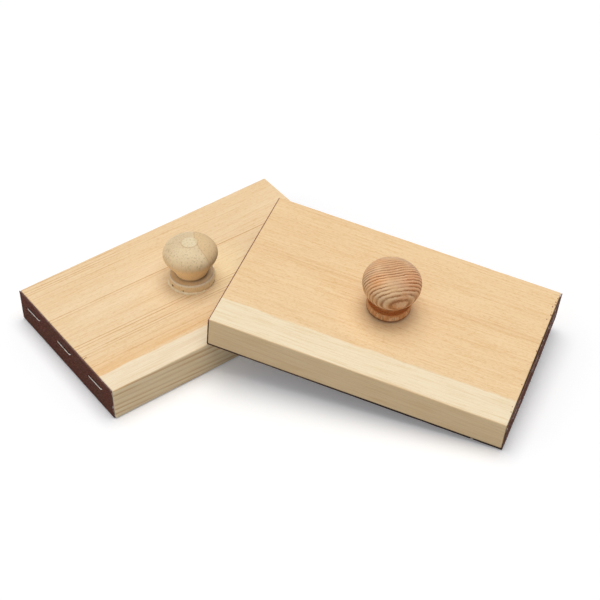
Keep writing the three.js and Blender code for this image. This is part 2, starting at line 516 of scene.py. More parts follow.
@dataclass(frozen=True)
class BlockSizes:
    """The sizes that both blocks share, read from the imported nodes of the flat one.

    base and top are the heights of the board's faces above the block's underside, and outer_length
    is the length over the paper.
    """

    length: float
    width: float
    base: float
    top: float
    outer_length: float

    @classmethod
    def from_frame(cls) -> "BlockSizes":
        """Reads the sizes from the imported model.

        Returns:
            The sizes.
        """
        board_low, board_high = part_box("flat_board")
        sheet_low, sheet_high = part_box("flat_abrasive_sheet")
        return cls(
            length=board_high.x - board_low.x,
            width=board_high.y - board_low.y,
            base=board_low.z - sheet_low.z,
            top=board_high.z - sheet_low.z,
            outer_length=sheet_high.x - sheet_low.x,
        )


@dataclass(frozen=True)
class Lean:
    """How the second block lies: one corner on the flat block's front edge, one on the table.

    corner_x is where its left front corner lies along that edge from the flat block's middle, and
    angle is the angle between the two lengths.
    """

    corner_x: float = -21.8 * MM
    angle: float = math.radians(57.5)
    clearance: float = 0.3 * MM

    def place(self, sizes: BlockSizes) -> Matrix:
        """The leaning block's own frame in the frame of the pair.

        Args:
            sizes: The sizes of the blocks.

        Returns:
            The matrix from the block's own frame.
        """
        rest = sizes.top + self.clearance
        tilt = math.asin(rest / (sizes.outer_length * math.sin(self.angle)))
        corner = Matrix.Translation((self.corner_x, -sizes.width / 2, rest))
        turn = Matrix.Rotation(tilt, 4, "X") @ Matrix.Rotation(-self.angle, 4, "Z")
        return corner @ turn @ Matrix.Translation((sizes.outer_length / 2, sizes.width / 2, 0))


@dataclass(frozen=True)
class SheetFit:
    """How one block's paper lies on its board.

    At each end, bows is how far the flap's middle stands out, drops how far its edge lies below the
    board's top, ends how far the fold stands out past the plain one, and flaps how thick the flap
    is. front_inset sets the paper back from the board's front, staple_sink is how deep the staples
    press into it, and settle is how far the board has sunk into the paper under it.
    """

    bows: dict[End, float]
    drops: dict[End, float]
    ends: dict[End, float]
    flaps: dict[End, float]
    front_inset: float
    staple_sink: float
    settle: float
    plain_under: float = 0.61 * MM
    plain_flap: float = 0.5 * MM

    @property
    def under(self) -> float:
        """How thick the paper is under the board."""
        return self.plain_under - self.settle

    def board_end(self, end: End) -> float:
        """How far an end of the board stands out past the plain one."""
        return self.ends[end] + self.plain_flap - self.flaps[end]


# Finishes

@dataclass(frozen=True)
class Finish:
    """How a surface looks, with its lengths in millimetres of its piece's own frame.

    A pair named step, height, side, up or down is where a smooth step starts and ends. A pair named
    range or roughness is what a pattern's 0 and 1 turn into. relief is how deep and strong bumps are.
    """

    def paint(self, graph: Surface) -> None:
        """Builds the nodes of the surface.

        Args:
            graph: The material.
        """
        raise NotImplementedError

    def material(self, name: str, place: Matrix) -> bpy.types.Material:
        """Makes the surface as a material.

        Args:
            name: The material's name.
            place: The own frame of the piece that wears it.

        Returns:
            The new material.
        """
        graph = Surface(name, place)
        self.paint(graph)
        return graph.material


@dataclass(frozen=True)
class Patch:
    """A round patch of another colour in a surface. Lengths are in millimetres."""

    place: Triple
    inner: float
    outer: float
    color: Color
    share: float

    def lay(self, graph: Surface, below: Socket) -> Socket:
        """Lays the patch over the colour below it."""
        spot = graph.spot(self.place, self.inner, self.outer)
        return graph.blend(below, self.color, spot, self.share)


@dataclass(frozen=True)
class GrowthLine:
    """One growth line that stands out on a board's top.

    Lengths are in millimetres: its depth from the board's back edge and, where it fades along the
    board, the place where it has gone and the one up to which it is whole.
    """

    depth: float
    strength: float
    width: float = 0.4
    fade: Optional[Pair] = None


@dataclass(frozen=True)
class PineFinish:
    """Planed pine: honey heartwood with straight growth lines and a strip of cream sapwood.

    Its fields are named as in the other finishes. The layers' depth is counted from the board's
    back edge. The layers run askew by skew and lean by ring_lean, and the long sides show lines of
    their own. side_tone_and_shade darkens the long sides: partly their own side grain, partly
    painted shade. The sapwood starts at sap_start, where the heartwood turns amber. Its patches are
    painted light: paler wood where the knob and the other block shade the board. The seam shade is
    painted shade: a dark line at the board's foot, where it meets the paper, stronger to the right.
    """

    heart_pale: Color
    heart_deep: Color
    amber: Color
    sap_pale: Color
    sap_deep: Color
    line_tone: Color
    sap_start: float
    amber_width: float
    amber_share: float
    lines: tuple[GrowthLine, ...]
    patches: tuple[Patch, ...]
    skew: float
    ring_lean: float
    side_share: float
    fleck_share: float
    seed: float
    plain_share: float
    # Colour of the long sides: partly their own side grain, partly painted shade.
    side_tone_and_shade: Color
    # Painted shade: a dark line at the board's foot, where it meets the paper.
    seam_shade_share: float = 0.0
    fleck_tone: Color = rgb(214, 186, 152)
    fibre_tone: Color = rgb(245, 236, 222)
    seam_shade_tone: Color = rgb(50, 26, 20)
    sway: Cloud = Cloud((0.011, 0.03, 0.03), span=(-0.7, 0.7))
    tone: Cloud = Cloud((0.012, 0.09, 0.09), detail=3, shift=3, step=(0.3, 0.7))
    fibre: Cloud = Cloud((0.05, 1.6, 1.6), detail=5, rough=0.62)
    mottle: Cloud = Cloud((0.7, 1.4, 1.4), detail=3, rough=0.6, shift=2, step=(0.45, 0.8))
    fleck: Cloud = Cloud((0.3, 3.0, 3.0), step=(0.6, 0.76))
    streak: Cloud = Cloud((0.014, 0.4, 0.4), detail=4, shift=8)
    uneven: Cloud = Cloud((0.05, 1.1, 1.1), detail=3, shift=5, step=(0.3, 0.6), span=(0.45, 1.0))
    line_pitch: float = 1.7
    side_pitch: float = 3.1
    side_skew: float = -0.055
    side_shift: float = 0.9
    side_blur: Pair = (0.6, 0.2)
    drift_rate: float = 0.23
    drift_range: Pair = (-0.5, 0.5)
    line_up: Pair = (0.35, 0.84)
    line_down: Pair = (1.0, 0.86)
    line_range: Pair = (0.5, 1.0)
    line_core: float = 0.05
    line_sink: float = -0.6
    fade_rate: float = 0.03
    fade_jump: float = 5.3
    fade_step: Pair = (0.3, 0.62)
    edge_rate: float = 0.06
    edge_detail: float = 3
    edge_range: Pair = (-1.3, 1.3)
    sap_blur: float = 0.6
    sap_calm: Pair = (1.0, 0.4)
    amber_step: Pair = (0.3, 0.6)
    amber_range: Pair = (0.35, 1.0)
    cream_step: Pair = (0.45, 0.8)
    fibre_step: Pair = (0.4, 0.75)
    seam_shade_height: Pair = (1.75, 1.45)
    seam_shade_step: Pair = (-50.0, 20.0)
    seam_shade_range: Pair = (0.25, 1.0)
    roughness: Pair = (0.52, 0.78)
    gloss: float = 0.3
    relief: Pair = (0.05 * MM, 0.4)

    def plain_lines(self, graph: Surface, depth: Socket, along: Socket, pitch: float) -> Socket:
        """Thin lines with one sharp side, each with a strength of its own.

        Args:
            graph: The material.
            depth: How far through the growth layers a point lies.
            along: How far along the board it lies.
            pitch: The mean width of a layer.

        Returns:
            A socket that is 1 in the darkest lines and 0 between them.
        """
        drift = graph.line_noise(graph.times(depth, self.drift_rate / pitch))
        drift = graph.between(drift, *self.drift_range)
        part, count, own = graph.layers(graph.plus(graph.times(depth, 1 / pitch), drift, self.seed))
        slide = graph.plus(graph.times(count, self.fade_jump), graph.times(along, self.fade_rate))
        fade = graph.rise(graph.line_noise(slide), *self.fade_step)
        strengths = (graph.between(share, *self.line_range) for share in (own, fade))
        return graph.times(graph.band(part, self.line_up, self.line_down), *strengths)

    def strong_lines(self, graph: Surface, depth: Socket, along: Socket) -> Socket:
        """The growth lines that stand out, each uneven along its length.

        Args:
            graph: The material.
            depth: How far from the back edge a point lies.
            along: How far along the board it lies.

        Returns:
            A socket that is 1 in the darkest lines and 0 between them.
        """
        darks = []
        for line in self.lines:
            away = graph.number("ABSOLUTE", graph.minus(depth, line.depth))
            dark = graph.times(graph.rise(away, line.width, self.line_core), line.strength)
            if line.fade:
                dark = graph.times(dark, graph.rise(along, *line.fade))
            darks.append(dark)
        return graph.times(graph.plus(*darks), graph.speckle(self.uneven, self.seed))

    def material(self, name: str, place: Matrix, sizes: BlockSizes) -> bpy.types.Material:
        """Makes the wood of one board.

        Args:
            name: The material's name.
            place: The block's own frame.
            sizes: The sizes of the blocks.

        Returns:
            The new material.
        """
        graph = Surface(name, place)
        half_width, top = sizes.width / 2 / MM, sizes.top / MM
        x, y, z = graph.parts(graph.own)
        drop = graph.minus(top, z)
        clouds = (self.sway, self.tone, self.fibre, self.mottle, self.fleck, self.streak)
        patterns = (graph.speckle(cloud, self.seed) for cloud in clouds)
        sway, tone, fibre, mottle, fleck, streak = patterns
        depth = graph.plus(graph.minus(half_width, y), graph.times(drop, self.ring_lean))
        depth = graph.plus(depth, graph.times(x, -self.skew), sway)

        edge = graph.line_noise(graph.times(x, self.edge_rate), detail=self.edge_detail)
        edge = graph.plus(depth, graph.between(edge, *self.edge_range))
        sap = graph.rise(edge, self.sap_start - self.sap_blur, self.sap_start + self.sap_blur)
        calm = graph.between(sap, *self.sap_calm)
        amber = graph.between(graph.rise(streak, *self.amber_step), *self.amber_range)
        near = graph.rise(depth, self.sap_start - self.amber_width, self.sap_start)
        heart = graph.blend(self.heart_pale, self.heart_deep, tone)
        heart = graph.blend(heart, self.amber, near, amber, self.amber_share)
        # Painted light: paler wood where the knob and the other block shade the board.
        for patch in self.patches:
            heart = patch.lay(graph, heart)
        cream = graph.blend(self.sap_pale, self.sap_deep, graph.rise(streak, *self.cream_step))
        wood = graph.blend(heart, cream, sap)

        side_start, side_full = (half_width - inset for inset in self.side_blur)
        side = graph.rise(graph.number("ABSOLUTE", y), side_start, side_full)
        lines = graph.times(self.plain_lines(graph, depth, x, self.line_pitch), self.plain_share)
        lines = graph.plus(lines, self.strong_lines(graph, depth, x))
        side_depth = graph.plus(graph.times(x, self.side_skew), drop, self.side_shift)
        side_lines = self.plain_lines(graph, side_depth, x, self.side_pitch)
        side_lines = graph.times(side_lines, side, self.side_share)
        grain = graph.plus(graph.times(lines, calm, graph.minus(1.0, side)), side_lines)
        wood = graph.coats(
            wood,
            (self.line_tone, grain),
            (self.fibre_tone, graph.rise(fibre, *self.fibre_step)),
            (self.fibre_tone, mottle, calm),
            (self.fleck_tone, fleck, calm, self.fleck_share),
            # The long sides darker: partly their own grain, partly painted shade.
            (self.side_tone_and_shade, side),
            mode="MULTIPLY",
        )
        # Painted shade at the board's foot, where it meets the paper, stronger towards the right end.
        if self.seam_shade_share:
            along = graph.between(graph.rise(x, *self.seam_shade_step), *self.seam_shade_range)
            seam_shade = graph.rise(z, *self.seam_shade_height)
            wood = graph.blend(wood, self.seam_shade_tone, seam_shade, along, self.seam_shade_share)
        rough = graph.between(fibre, *self.roughness)
        graph.set(Base_Color=wood, Roughness=rough, Specular_IOR_Level=self.gloss)
        graph.bump(graph.plus(graph.times(grain, self.line_sink), fibre), *self.relief)
        return graph.material


@dataclass(frozen=True)
class AbrasiveFinish(Finish):
    """The gritty side of brown abrasive paper: dark bond with paler and darker grains in it."""

    bond: Color = rgb(92, 52, 36)
    bond_red: Color = rgb(98, 48, 36)
    grain_dark: Color = rgb(58, 32, 24)
    grain_pale: Color = rgb(138, 96, 72)
    cells: float = 2.6
    tone: Cloud = Cloud.even(0.09, detail=3, step=(0.35, 0.65))
    dark_step: Pair = (0.55, 1.0)
    pale_step: Pair = (0.78, 1.15)
    roughness: Pair = (0.7, 0.95)
    gloss: float = 0.15
    relief: Pair = (0.25 * MM, 0.7)

    def paint(self, graph: Surface) -> None:
        """Builds the nodes of the gritty side."""
        grit = graph.node("ShaderNodeTexVoronoi", {"Vector": graph.own, "Scale": self.cells})
        tint, shade, _ = graph.parts(grit.outputs["Color"])
        color = graph.coats(
            self.bond,
            (self.bond_red, graph.speckle(self.tone)),
            (self.grain_dark, graph.rise(tint, *self.dark_step)),
            (self.grain_pale, graph.rise(shade, *self.pale_step)),
        )
        rough = graph.between(tint, *self.roughness)
        graph.set(Base_Color=color, Roughness=rough, Specular_IOR_Level=self.gloss)
        graph.bump(graph.minus(1.0, grit.outputs["Distance"]), *self.relief)


@dataclass(frozen=True)
class PaperEdgeFinish(Finish):
    """The cut edge and the smooth back of the abrasive sheet, with torn fibres showing pale.

    The contact shade is painted shade: it darkens the underside's edge along the block, where the
    sheet meets the table, up to contact_shade_stop. The left flap's top is worn pale, outside
    worn_step and above worn_height.
    """

    core: Color
    back: Color
    torn: Color
    # Painted shade along the underside's edge, where the sheet meets the table.
    contact_shade: Color = rgb(36, 16, 14)
    contact_shade_share: float = 0.0
    contact_shade_height: Pair = (2.2, 1.6)
    contact_shade_step: Pair = (-45.0, 25.0)
    contact_shade_range: Pair = (0.45, 1.0)
    contact_shade_stop: Pair = (75.4, 74.0)
    worn: Color = rgb(168, 122, 104)
    worn_share: float = 0.0
    worn_step: Pair = (-74.5, -75.0)
    worn_height: Pair = (16.0, 17.0)
    chips: tuple[Patch, ...] = ()
    cloud: Cloud = Cloud.even(0.8, detail=4, rough=0.6)
    cloud_step: Pair = (0.3, 0.8)
    tear: Cloud = Cloud.even(0.32, detail=3, shift=4, step=(0.58, 0.74))
    roughness: float = 0.9
    gloss: float = 0.2
    relief: Pair = (0.1 * MM, 0.6)

    def paint(self, graph: Surface) -> None:
        """Builds the nodes of the bare paper."""
        cloud = graph.speckle(self.cloud)
        x, _, z = graph.parts(graph.own)
        # Painted shade along the underside's edge, where the sheet meets the table.
        run = graph.between(graph.rise(x, *self.contact_shade_step), *self.contact_shade_range)
        contact_shade = graph.times(run, graph.rise(x, *self.contact_shade_stop), graph.rise(z, *self.contact_shade_height))
        worn = graph.times(graph.rise(x, *self.worn_step), graph.rise(z, *self.worn_height))
        color = graph.coats(
            self.core,
            (self.back, graph.rise(cloud, *self.cloud_step)),
            (self.torn, graph.speckle(self.tear)),
            (self.worn, worn, self.worn_share),
            (self.contact_shade, contact_shade, self.contact_shade_share),
        )
        for chip in self.chips:
            color = chip.lay(graph, color)
        graph.set(Base_Color=color, Roughness=self.roughness, Specular_IOR_Level=self.gloss)
        graph.bump(cloud, *self.relief)


@dataclass(frozen=True)
class GrainFinish(Finish):
    """Loose or bonded abrasive grains, each with its own shade."""

    dark: Color = rgb(70, 38, 28)
    pale: Color = rgb(120, 74, 56)
    shade: Cloud = Cloud.even(1.1)
    shade_step: Pair = (0.35, 0.7)
    roughness: Pair = (0.5, 0.8)
    gloss: float = 0.25

    def paint(self, graph: Surface) -> None:
        """Builds the nodes of the grains."""
        shade = graph.speckle(self.shade)
        graph.set(
            Base_Color=graph.blend(self.dark, self.pale, graph.rise(shade, *self.shade_step)),
            Roughness=graph.between(shade, *self.roughness),
            Specular_IOR_Level=self.gloss,
        )


@dataclass(frozen=True)
class SteelFinish(Finish):
    """Drawn steel wire or a turned screw, with fine scratches and a little tarnish."""

    bright: Color = rgb(206, 200, 194)
    dull: Color = rgb(160, 152, 144)
    roughness: Pair = (0.26, 0.5)
    tarnish: Cloud = Cloud.even(0.5, detail=4, step=(0.4, 0.75))
    scratch: Cloud = Cloud((6.0, 0.8, 6.0))
    relief: Pair = (0.01 * MM, 0.4)

    def paint(self, graph: Surface) -> None:
        """Builds the nodes of the metal."""
        scratch = graph.speckle(self.scratch)
        graph.set(
            Base_Color=graph.blend(self.bright, self.dull, graph.speckle(self.tarnish)),
            Metallic=1.0,
            Roughness=graph.between(scratch, *self.roughness),
        )
        graph.bump(scratch, *self.relief)


@dataclass(frozen=True)
class GlueFinish(Finish):
    """Dried wood glue: cloudy, warm white and a little glossy."""

    white: Color = rgb(252, 234, 196)
    stain: Color = rgb(232, 202, 152)
    cloud: Cloud = Cloud.even(0.5, detail=3)
    stain_step: Pair = (0.4, 0.7)
    roughness: Pair = (0.35, 0.6)
    relief: Pair = (0.1 * MM, 0.3)

    def paint(self, graph: Surface) -> None:
        """Builds the nodes of the glue."""
        cloud = graph.speckle(self.cloud)
        graph.set(
            Base_Color=graph.blend(self.white, self.stain, graph.rise(cloud, *self.stain_step)),
            Roughness=graph.between(cloud, *self.roughness),
        )
        graph.bump(cloud, *self.relief)


PIT_TONE = rgb(72, 44, 22)
# Painted shade for the gap under a knob's foot.
GAP_SHADE_TONE = rgb(92, 60, 32)


@dataclass(frozen=True)
class SpeckledKnobFinish(Finish):
    """Pale knob wood with its fibres upright: brown flecks, and a tan zone past one growth line.

    The growth line is a bow across the knob: its middle lies at bow_x and bow_y, and it turns away
    from there. The disc is the knob's flat top. Below low_height the wood is warmer and paler,
    partly its own tone and partly painted light against the ball's shade. The foot's side is
    painted lighter towards the right, and its rim carries a painted highlight; the groove shade is
    painted shade in the groove under the ball, darker towards the right. The pits are small holes
    in the foot, and the gap spots are painted shade in the gap under its right side.
    """

    pale: Color = rgb(230, 209, 170)
    grey: Color = rgb(219, 196, 158)
    disc: Color = rgb(238, 223, 186)
    tan: Color = rgb(224, 188, 138)
    line: Color = rgb(190, 154, 106)
    fleck: Color = rgb(180, 144, 98)
    # Partly the lower wood's own tone, partly painted light against the ball's shade.
    foot_tan_and_painted_light: Color = rgb(250, 217, 166)
    # Painted light on the foot's side, stronger towards the right.
    painted_foot_light: Color = rgb(255, 234, 192)
    # Painted highlight along the foot's upper rim.
    rim: Color = rgb(255, 242, 214)
    # Painted shade in the groove under the ball.
    groove_shade: Color = rgb(126, 84, 40)
    pits_and_gap_shade: tuple[Patch, ...] = (
        Patch((-11.7, -0.4, 1.6), 0.45, 0.85, PIT_TONE, 0.95),
        Patch((-9.6, -6.7, 1.2), 0.3, 0.55, PIT_TONE, 0.9),
        # Painted shade: the gap under the foot's right side.
        Patch((7.3, -9.3, 0.7), 0.5, 1.0, GAP_SHADE_TONE, 0.8),
        Patch((6.0, -10.2, 0.5), 0.5, 1.0, GAP_SHADE_TONE, 0.8),
        Patch((4.6, -10.9, 0.3), 0.4, 0.9, GAP_SHADE_TONE, 0.7),
    )
    tone: Cloud = Cloud((0.12, 0.12, 0.05), detail=3, shift=2)
    tone_step: Pair = (0.35, 0.65)
    fleck_cloud: Cloud = Cloud((1.15, 1.15, 0.3), detail=4, rough=0.65)
    fleck_step: Pair = (0.5, 0.72)
    fleck_range: Pair = (0.3, 0.65)
    pore: Cloud = Cloud((3.6, 3.6, 0.9), shift=5)
    pore_step: Pair = (0.55, 0.75)
    pore_range: Pair = (0.2, 0.4)
    bow_x: float = 1.8
    bow_y: float = -8.0
    bow_turn: float = 0.025
    bow_range: Pair = (-0.6, 0.6)
    tan_step: Pair = (-1.4, 1.2)
    tan_height: Pair = (12.0, 17.0)
    tan_share: float = 0.65
    line_step: Pair = (0.55, 0.1)
    line_height: Pair = (14.0, 21.0)
    line_share: float = 0.4
    low_range: Pair = (-4.0, 4.0)
    low_height: Pair = (25.0, 14.5)
    low_share: float = 0.85
    disc_step: Pair = (4.3, 3.5)
    disc_height: Pair = (23.6, 23.8)
    disc_share: float = 0.55
    ring_radius: float = 4.2
    ring_step: Pair = (0.6, 0.1)
    ring_height: Pair = (22.8, 23.2)
    ring_share: float = 0.2
    painted_light_height: Pair = (5.2, 3.6)
    painted_light_step: Pair = (-4.0, 9.0)
    rim_highlight_up: Pair = (3.3, 3.9)
    rim_highlight_down: Pair = (5.2, 4.8)
    rim_highlight_step: Pair = (10.4, 10.8)
    rim_highlight_share: float = 0.7
    groove_shade_up: Pair = (4.2, 4.6)
    groove_shade_down: Pair = (6.0, 5.2)
    groove_shade_step: Pair = (-7.0, 6.0)
    groove_shade_range: Pair = (0.35, 0.85)
    roughness: Pair = (0.5, 0.75)
    gloss: float = 0.3
    relief: Pair = (0.05 * MM, 0.5)

    def paint(self, graph: Surface) -> None:
        """Builds the nodes of the knob's wood."""
        x, y, z = graph.parts(graph.own)
        tone = graph.speckle(self.tone)
        fleck = graph.speckle(self.fleck_cloud)
        pore = graph.speckle(self.pore)
        away = graph.minus(y, self.bow_y)
        bow = graph.times(away, away, self.bow_turn)
        depth = graph.minus(graph.minus(x, self.bow_x), bow)
        depth = graph.plus(depth, graph.between(tone, *self.bow_range))
        tan = graph.times(graph.rise(depth, *self.tan_step), graph.rise(z, *self.tan_height))
        line = graph.rise(graph.number("ABSOLUTE", depth), *self.line_step)
        line = graph.times(line, graph.rise(z, *self.line_height))
        # Below low_height the wood turns paler and warmer: partly its own tone, partly painted light.
        low = graph.plus(z, graph.between(fleck, *self.low_range))
        low = graph.rise(low, *self.low_height)
        high = graph.minus(1.0, low)
        middle = graph.vector("LENGTH", graph.vector("MULTIPLY", graph.own, LEVEL))
        disc = graph.times(graph.rise(middle, *self.disc_step), graph.rise(z, *self.disc_height))
        ring = graph.number("ABSOLUTE", graph.minus(middle, self.ring_radius))
        ring = graph.times(graph.rise(ring, *self.ring_step), graph.rise(z, *self.ring_height))
        # Painted light: the foot's side paler towards the right, where the ball's shade falls.
        side = graph.times(graph.rise(z, *self.painted_light_height), graph.rise(x, *self.painted_light_step))
        # Painted highlight along the foot's upper rim.
        rim = graph.band(z, self.rim_highlight_up, self.rim_highlight_down)
        # Painted shade in the groove under the ball, darker towards the right.
        groove_shade = graph.between(graph.rise(x, *self.groove_shade_step), *self.groove_shade_range)

        wood = graph.coats(
            self.pale,
            (self.grey, graph.rise(tone, *self.tone_step)),
            (self.foot_tan_and_painted_light, low, self.low_share),
            (self.painted_foot_light, side),
            (self.rim, rim, graph.rise(middle, *self.rim_highlight_step), self.rim_highlight_share),
            (self.tan, tan, self.tan_share),
            (self.line, line, self.line_share),
            (self.disc, disc, self.disc_share),
            (self.line, ring, self.ring_share),
            (self.fleck, graph.rise(fleck, *self.fleck_step), graph.between(high, *self.fleck_range)),
            (self.line, graph.rise(pore, *self.pore_step), graph.between(high, *self.pore_range)),
            (self.groove_shade, graph.band(z, self.groove_shade_up, self.groove_shade_down), groove_shade),
        )
        # Small holes, and painted shade in the gap under the foot's right side.
        for dark_spot in self.pits_and_gap_shade:
            wood = dark_spot.lay(graph, wood)
        rough = graph.between(fleck, *self.roughness)
        graph.set(Base_Color=wood, Roughness=rough, Specular_IOR_Level=self.gloss)
        graph.bump(graph.plus(fleck, pore), *self.relief)


@dataclass(frozen=True)
class RingedKnobFinish(Finish):
    """Strongly banded knob wood: reddish growth lines in grey tan, in upright layers.

    The layers face one way across the knob and bow sideways from it. Each has a dark line and a
    gleam, which are fainter in places and round the point calm. The foot has upright ticks in place
    of the lines, and painted shade darkens it where it meets the board.
    """

    pale: Color = rgb(232, 190, 142)
    grey: Color = rgb(210, 170, 130)
    orange: Color = rgb(224, 150, 84)
    red: Color = rgb(196, 124, 82)
    line: Color = rgb(140, 84, 40)
    deep: Color = rgb(110, 60, 26)
    gleam: Color = rgb(244, 212, 172)
    foot: Color = rgb(213, 145, 82)
    neck: Color = rgb(206, 134, 68)
    patches: tuple[Patch, ...] = (
        Patch((-6.0, -7.6, 23.5), 1.5, 6.5, rgb(230, 150, 82), 0.45),
        Patch((8.6, -0.2, 23.0), 2.0, 8.0, rgb(198, 122, 76), 0.55),
        Patch((0.0, 2.0, 26.0), 4.0, 9.0, rgb(194, 142, 98), 0.65),
        Patch((2.9, -6.8, 24.0), 1.5, 5.0, rgb(206, 162, 120), 0.5),
        Patch((6.8, -12.4, 16.4), 1.5, 5.0, rgb(190, 118, 62), 0.6),
    )
    facing: Triple = (0.588, -0.809, -0.03)
    sideways: Triple = (0.809, 0.588, 0.0)
    bow: float = 0.009
    pitch: float = 1.5
    shift: float = 1.97
    tone: Cloud = Cloud.even(0.1, detail=3, shift=7, step=(0.35, 0.65))
    sway: Cloud = Cloud.even(0.22, detail=4, rough=0.6, shift=1, span=(-0.5, 0.5))
    jag: Cloud = Cloud.even(1.4, detail=3, rough=0.7, shift=3, span=(-0.34, 0.34))
    warm: Cloud = Cloud.even(0.13, detail=3, shift=12, step=(0.44, 0.66))
    faint: Cloud = Cloud.even(0.2, shift=17, step=(0.36, 0.56), span=(0.45, 1.0))
    tick: Cloud = Cloud((2.4, 2.4, 0.1), shift=21, step=(0.52, 0.66))
    fibre: Cloud = Cloud((1.2, 1.2, 2.4), detail=4, rough=0.65)
    fibre_range: Pair = (0.6, 1.3)
    chatter: Cloud = Cloud((2.2, 2.2, 0.5), detail=3, shift=9)
    chatter_range: Pair = (0.7, 1.25)
    line_up: Pair = (0.45, 0.75)
    line_down: Pair = (1.0, 0.9)
    line_range: Pair = (0.5, 1.0)
    line_swell: float = 0.6
    gleam_up: Pair = (0.0, 0.1)
    gleam_down: Pair = (0.42, 0.2)
    gleam_share: float = 0.45
    orange_range: Pair = (0.2, 1.0)
    orange_share: float = 0.7
    red_side: Pair = (1.0, 9.0)
    red_step: Pair = (0.42, 0.62)
    red_share: float = 0.45
    calm: Triple = (2.9, -6.8, 24.0)
    calm_radii: Pair = (2.0, 5.5)
    calm_range: Pair = (1.0, 0.35)
    warm_height: Pair = (13.0, 3.0)
    warm_share: float = 0.6
    foot_height: Pair = (5.6, 4.6)
    foot_range: Pair = (1.0, 0.25)
    neck_up: Pair = (4.2, 4.7)
    neck_down: Pair = (9.0, 6.4)
    neck_share: float = 0.8
    tick_share: float = 0.7
    deep_step: Pair = (0.6, 0.85)
    # Painted shade: the foot darker where it meets the board.
    foot_shade_range: Pair = (-0.3, 0.3)
    foot_shade_height: Pair = (2.0, 1.0)
    foot_shade_share: float = 0.75
    roughness: Pair = (0.48, 0.7)
    gloss: float = 0.3
    relief: Pair = (0.06 * MM, 0.5)

    def paint(self, graph: Surface) -> None:
        """Builds the nodes of the knob's wood."""
        x, _, z = graph.parts(graph.own)
        fibre = graph.speckle(self.fibre)
        chatter = graph.speckle(self.chatter)
        across = graph.vector("DOT_PRODUCT", graph.own, self.sideways)
        depth = graph.vector("DOT_PRODUCT", graph.own, self.facing)
        depth = graph.plus(depth, graph.times(across, across, self.bow))
        depth = graph.plus(depth, graph.speckle(self.sway), graph.speckle(self.jag))
        part, _, own = graph.layers(graph.plus(graph.times(depth, 1 / self.pitch), self.shift))
        line = graph.band(part, self.line_up, self.line_down)
        line = graph.times(line, graph.between(own, *self.line_range))
        gleam = graph.band(part, self.gleam_up, self.gleam_down)
        orange = graph.times(graph.speckle(self.warm), graph.between(chatter, *self.orange_range))
        red = graph.times(graph.rise(x, *self.red_side), graph.rise(chatter, *self.red_step))
        calm = graph.between(graph.spot(self.calm, *self.calm_radii), *self.calm_range)
        faint = graph.times(graph.speckle(self.faint), calm)
        # Painted shade: the foot darker where it meets the board.
        stain = graph.plus(z, graph.between(fibre, *self.foot_shade_range))
        stain = graph.rise(stain, *self.foot_shade_height)
        foot = graph.rise(z, *self.foot_height)
        neck = graph.band(z, self.neck_up, self.neck_down)
        tick = graph.speckle(self.tick)

        wood = graph.coats(
            self.pale,
            (self.grey, graph.speckle(self.tone)),
            (self.orange, orange, self.orange_share),
            (self.red, red, self.red_share),
            (self.foot, graph.rise(z, *self.warm_height), self.warm_share),
        )
        for patch in self.patches:
            wood = patch.lay(graph, wood)
        line = graph.times(line, faint, graph.between(foot, *self.foot_range))
        line = graph.number("MAXIMUM", line, graph.times(tick, foot, self.tick_share))
        line = graph.times(line, graph.between(fibre, *self.fibre_range))
        line = graph.times(line, graph.between(chatter, *self.chatter_range))
        wood = graph.coats(
            wood,
            (self.gleam, gleam, faint, self.gleam_share),
            (self.neck, neck, self.neck_share),
            (self.line, line),
            (self.deep, graph.rise(fibre, *self.deep_step)),
            (self.deep, stain, self.foot_shade_share),
        )
        rough = graph.between(fibre, *self.roughness)
        graph.set(Base_Color=wood, Roughness=rough, Specular_IOR_Level=self.gloss)
        graph.bump(graph.plus(graph.times(line, self.line_swell), fibre), *self.relief)


# Boards

@dataclass(frozen=True)
class Nick:
    """A short split in a board's left top edge. Sizes and its place across are in metres."""

    across: float
    length: float = 1.9 * MM
    width: float = 0.4 * MM
    depth: float = 0.9 * MM
    turn: float = math.radians(9)

    def cutter(self, sizes: BlockSizes) -> tuple[np.ndarray, Faces]:
        """The shape that it takes out of the board, in the block's own frame.

        Args:
            sizes: The sizes of the blocks.

        Returns:
            The points and the faces of the shape.
        """
        half = Vector((self.length, self.width / 2, self.depth))
        points, faces = box_shape(-half, half)
        turn = Matrix.Rotation(self.turn, 4, "Z")
        place = Matrix.Translation((-sizes.length / 2, self.across, sizes.top)) @ turn
        return np.array([place @ Vector(point) for point in points]), faces


